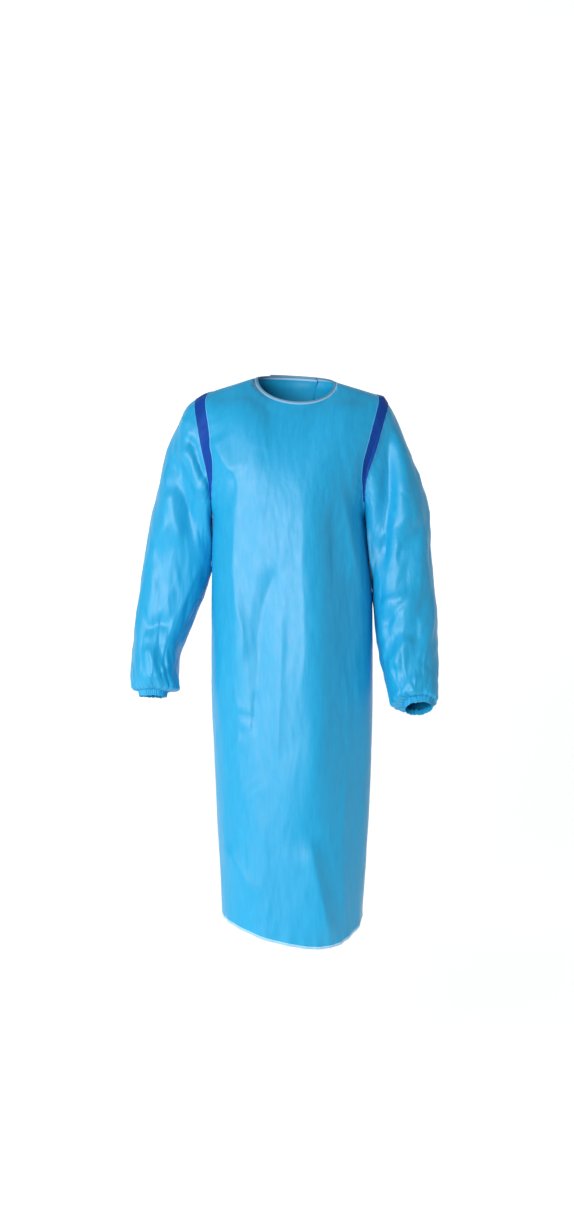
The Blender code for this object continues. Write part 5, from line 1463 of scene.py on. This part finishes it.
class GOWN_OT_cuffs(GownOperator, bpy.types.Operator):
    """Elastic wrist hems"""

    bl_idname = "gown.cuffs"
    bl_label = "Cuffs"

    def build(self, context, sizes, gown):
        """Both cuffs as closed walls."""
        cloth = material_for(context, "cloth")
        for side, word in SIDES:
            grid = gown.cuff[side]
            uv = flat_map(grid, closed=True)
            name = "gown_cuff_" + word
            normal = gown.cuff_normal[side]
            cuff = shell(name, grid, normal, sizes.cloth_wall, uv, cloth, closed=True)
            finish_piece(cuff, "cuff_" + word)


class GOWN_OT_tapes(GownOperator, bpy.types.Operator):
    """Sealing tape over the armhole seams"""

    bl_idname = "gown.tapes"
    bl_label = "Armhole tapes"

    def build(self, context, sizes, gown):
        """A strip over each armhole seam, on the trunk's and the sleeve's own cloth."""
        tape = material_for(context, "tape")
        for side, word in SIDES:
            grid, normal, uv = tape_strip(gown, side, sizes)
            strip = shell("gown_tape_" + word, grid, normal, sizes.tape_wall, uv, tape)
            finish_piece(strip, "armhole_tape_" + word)


class GOWN_OT_binding(GownOperator, bpy.types.Operator):
    """Neck binding"""

    bl_idname = "gown.binding"
    bl_label = "Neck binding"

    def build(self, context, sizes, gown):
        """The folded band round the neck."""
        grid, normal, thick, uv = binding_strip(gown, sizes)
        band = shell("gown_binding", grid, normal, thick, uv, material_for(context, "binding"))
        finish_piece(band, "neck_binding")


class GOWN_OT_closures(GownOperator, bpy.types.Operator):
    """Hook-and-loop tab at the neck, and the waist ties with their knot and loose ends"""

    bl_idname = "gown.closures"
    bl_label = "Back closures"

    def build(self, context, sizes, gown):
        """Each band on the back panels' own cloth."""
        self.build_tab(context, sizes, gown)
        self.build_ties(context, sizes, gown)
        self.build_knot(context, sizes, gown)
        self.build_ends(context, sizes, gown)

    def build_tab(self, context, sizes, gown):
        """The tab, over the upper back panel's free edge."""
        v = np.linspace(TAB_ROWS[0], TAB_ROWS[1], 25)[:, None] / PANEL_ROWS
        share = np.linspace(0, 1, 61)[None, :]
        edge = free_edge(1, v)
        w = mix(edge + TAB_REACH, edge - TAB_REACH, share) + 0 * v
        v = v + 0 * w
        lift = sizes.cloth_wall / 2 + TRIM_LIFT + sizes.tab_wall / 2
        grid, normal = band_over_edge(gown, w, v, lift)
        across = (v - v[:1]) / (v[-1:] - v[:1])
        rim = np.minimum(np.minimum(share, 1 - share) * 4.0, np.minimum(across, 1 - across) * 2.0)
        sewn = 1 - 0.4 * np.exp(-((rim - 0.16) / 0.05) ** 2)
        thick = sizes.tab_wall * sewn * (0.35 + 0.65 * ease(rim / 0.08))
        tab = shell("gown_neck_tab", grid, normal, thick[..., None], panel_map(w, v),
                    material_for(context, "fastener"))
        finish_piece(tab, "neck_tab")

    def build_ties(self, context, sizes, gown):
        """Both ties, from where they are sewn to the knot."""
        half_knot = (KNOT_SIZE / 2 + 0.0003) / ACROSS_BACK
        begin = float(free_edge(1, TIE_V)) + TIE_SEWN
        spans = (("left", begin, KNOT_W + half_knot), ("right", TIE_SIDE_W, KNOT_W - half_knot))
        across = np.linspace(-1, 1, 17)[:, None]
        share = np.linspace(0, 1, TIE_CELLS + 1)[None, :]
        lift = sizes.cloth_wall / 2 + TRIM_LIFT + sizes.tie_wall / 2 + TIE_LIFT
        for word, start, end in spans:
            near_knot = ease((share - 0.72) / 0.28)
            width = mix(1, KNOT_PLEAT, near_knot) * sizes.tie_width / 2 / DOWN_SKIRT
            w = mix(start, end, share) + 0 * across
            v = TIE_V + across * width
            if word == "left":
                grid, normal = band_over_edge(gown, w, v, lift)
            else:
                w, v, near_knot = w[:, ::-1], v[:, ::-1], near_knot[:, ::-1]
                grid, normal = on_back(gown, -1, w, v, lift)
            folds = tie_relief(w * ACROSS_BACK, across, 1.0) * 0.6 + 0.0006
            grid = pleated(grid, normal, folds, near_knot * 0.0012, across)
            tie = shell("gown_tie_" + word, grid, normals(grid), sizes.tie_wall, panel_map(w, v),
                        material_for(context, "cloth"))
            finish_piece(tie, "waist_tie_" + word)

    def build_knot(self, context, sizes, gown):
        """The knot: a plump pad whose ribbons cross it on the slant."""
        half = np.linspace(-1, 1, 41)
        a, b = half[:, None], half[None, :]
        plump = 0.3 + 0.7 * ((1 - a * a) * (1 - b * b)) ** 0.5
        ribbons = np.abs(np.cos(2.4 * (a + 0.8 * b))) ** 0.5 * 0.35 + 0.65
        depth = sizes.knot_depth * plump * ribbons
        w = KNOT_W - b * KNOT_SIZE / 2 / ACROSS_BACK + 0 * a
        v = TIE_V + a * KNOT_SIZE / 2 / DOWN_SKIRT + 0 * b
        grid, normal = on_back(gown, -1, w, v, sizes.cloth_wall / 2 + TRIM_LIFT + depth / 2)
        knot = shell("gown_knot", grid, normal, depth[..., None], panel_map(w, v),
                     material_for(context, "cloth"))
        finish_piece(knot, "waist_knot")

    def build_ends(self, context, sizes, gown):
        """The loose ends: they leave the knot pleated, fan out and hang flat."""
        start = TIE_V + (KNOT_SIZE / 2 + 0.0003) / DOWN_SKIRT
        share = np.linspace(0, 1, TIE_CELLS + 1)[:, None]
        across = np.linspace(-1, 1, 17)[None, :]
        for word, way in (("left", 1), ("right", -1)):
            slant = 0.010 * across * way * ease((share - 0.9) / 0.1)
            v = start + share * (TIE_END_LENGTH + slant) / DOWN_SKIRT
            width = mix(KNOT_PLEAT, 1, ease(share * 1.6)) * sizes.tie_width / 2 / ACROSS_BACK
            middle = KNOT_W + way * mix(TIE_END_FAN[0], TIE_END_FAN[1], share)
            w = middle - width * across
            lift = sizes.cloth_wall / 2 + TRIM_LIFT + TIE_END_FREE + sizes.tie_wall / 2
            grid, normal = on_back(gown, -1, w, v, lift)
            folds = tie_relief(share * TIE_END_LENGTH, across, 2.0 + way) + 0.0014
            grid = pleated(grid, normal, folds, (1 - ease(share / 0.35)) * 0.0010, across)
            end = shell("gown_tie_end_" + word, grid, normals(grid), sizes.tie_wall, panel_map(w, v),
                        material_for(context, "cloth"))
            finish_piece(end, "tie_end_" + word)


def add_light(name, place, aim, size, power):
    """A round area light at a place, turned to its aim."""
    lamp = bpy.data.lights.new(name, "AREA")
    lamp.shape = "DISK"
    lamp.size = size
    lamp.energy = power
    light = bpy.data.objects.new(name, lamp)
    light.location = place
    way = np.array(aim, float) - np.array(place, float)
    across, level = math.atan2(way[0], -way[1]), math.hypot(way[0], way[1])
    light.rotation_euler = (math.atan2(level, -way[2]), 0, across + math.pi)
    bpy.context.scene.collection.objects.link(light)
    return light


class GOWN_OT_stage(bpy.types.Operator):
    """Seamless pale floor and backdrop, soft lights and the camera"""

    bl_idname = "gown.stage"
    bl_label = "Stage"
    bl_options = {"REGISTER", "UNDO"}

    def execute(self, context):
        """A floor that turns up into a wall along a quarter circle, three lights and a camera."""
        turn = np.linspace(0, math.pi / 2, 25)
        bend = BACKDROP_Y - BACKDROP_BEND + BACKDROP_BEND * np.sin(turn)
        run = np.concatenate(((FLOOR_FRONT,), bend, (BACKDROP_Y,)))
        up = BACKDROP_BEND - BACKDROP_BEND * np.cos(turn)
        rise = np.concatenate(((0.0,), up, (BACKDROP_HEIGHT,)))
        x = np.linspace(-FLOOR_HALF_WIDTH, FLOOR_HALF_WIDTH, 9)[:, None]
        grid = np.stack(np.broadcast_arrays(x, run[None, :], FLOOR_Z + rise[None, :]), -1)
        normal = normals(grid)
        wide = np.stack(np.broadcast_arrays(x, run[None, :]), -1)
        paper = shell("studio_floor", grid, normal, PAPER_WALL, wide, material_for(context, "paper"))
        lights = [add_light(*row) for row in LIGHTS]
        world = bpy.data.worlds.new("studio_air")
        world.use_nodes = True
        air = world.node_tree.nodes["Background"]
        air.inputs["Color"].default_value = (*linear(AIR_COLOUR), 1)
        air.inputs["Strength"].default_value = AIR_STRENGTH
        context.scene.world = world
        context.scene.view_settings.view_transform = "Standard"
        lens = bpy.data.cameras.new("camera")
        lens.lens = CAMERA_LENS
        lens.sensor_width = 36
        camera = bpy.data.objects.new("camera", lens)
        camera.location = CAMERA_PLACE
        camera.rotation_euler = (math.pi / 2, 0, 0)
        context.scene.collection.objects.link(camera)
        context.scene.camera = camera
        return {"FINISHED"}


class GOWN_PT_panel(bpy.types.Panel):
    """Sizes, colours and one button for each group of pieces"""

    bl_idname = "GOWN_PT_panel"
    bl_label = "Surgical Gown"
    bl_space_type = "VIEW_3D"
    bl_region_type = "UI"
    bl_category = "Gown"

    def draw(self, context):
        """Lists the properties and the operators."""
        for settings in (context.scene.gown_sizes, context.scene.gown_colours):
            box = self.layout.box()
            for name in settings.__annotations__:
                box.prop(settings, name)
        for operator in OPERATORS:
            self.layout.operator(operator.bl_idname)


OPERATORS = (GOWN_OT_front, GOWN_OT_backs, GOWN_OT_sleeves, GOWN_OT_cuffs, GOWN_OT_tapes,
             GOWN_OT_binding, GOWN_OT_closures, GOWN_OT_stage)
CLASSES = (GownSizes, GownColours, *OPERATORS, GOWN_PT_panel)


def register():
    """Registers the classes and puts the settings on the scene."""
    for kind in CLASSES:
        bpy.utils.register_class(kind)
    bpy.types.Scene.gown_sizes = bpy.props.PointerProperty(type=GownSizes)
    bpy.types.Scene.gown_colours = bpy.props.PointerProperty(type=GownColours)


def unregister():
    """Takes the settings and the classes away again."""
    del bpy.types.Scene.gown_colours
    del bpy.types.Scene.gown_sizes
    for kind in reversed(CLASSES):
        bpy.utils.unregister_class(kind)


def main():
    """Builds every piece and the stage."""
    register()
    for operator in OPERATORS:
        group, name = operator.bl_idname.split(".")
        getattr(getattr(bpy.ops, group), name)()
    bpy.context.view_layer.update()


if __name__ == "__main__":
    main()
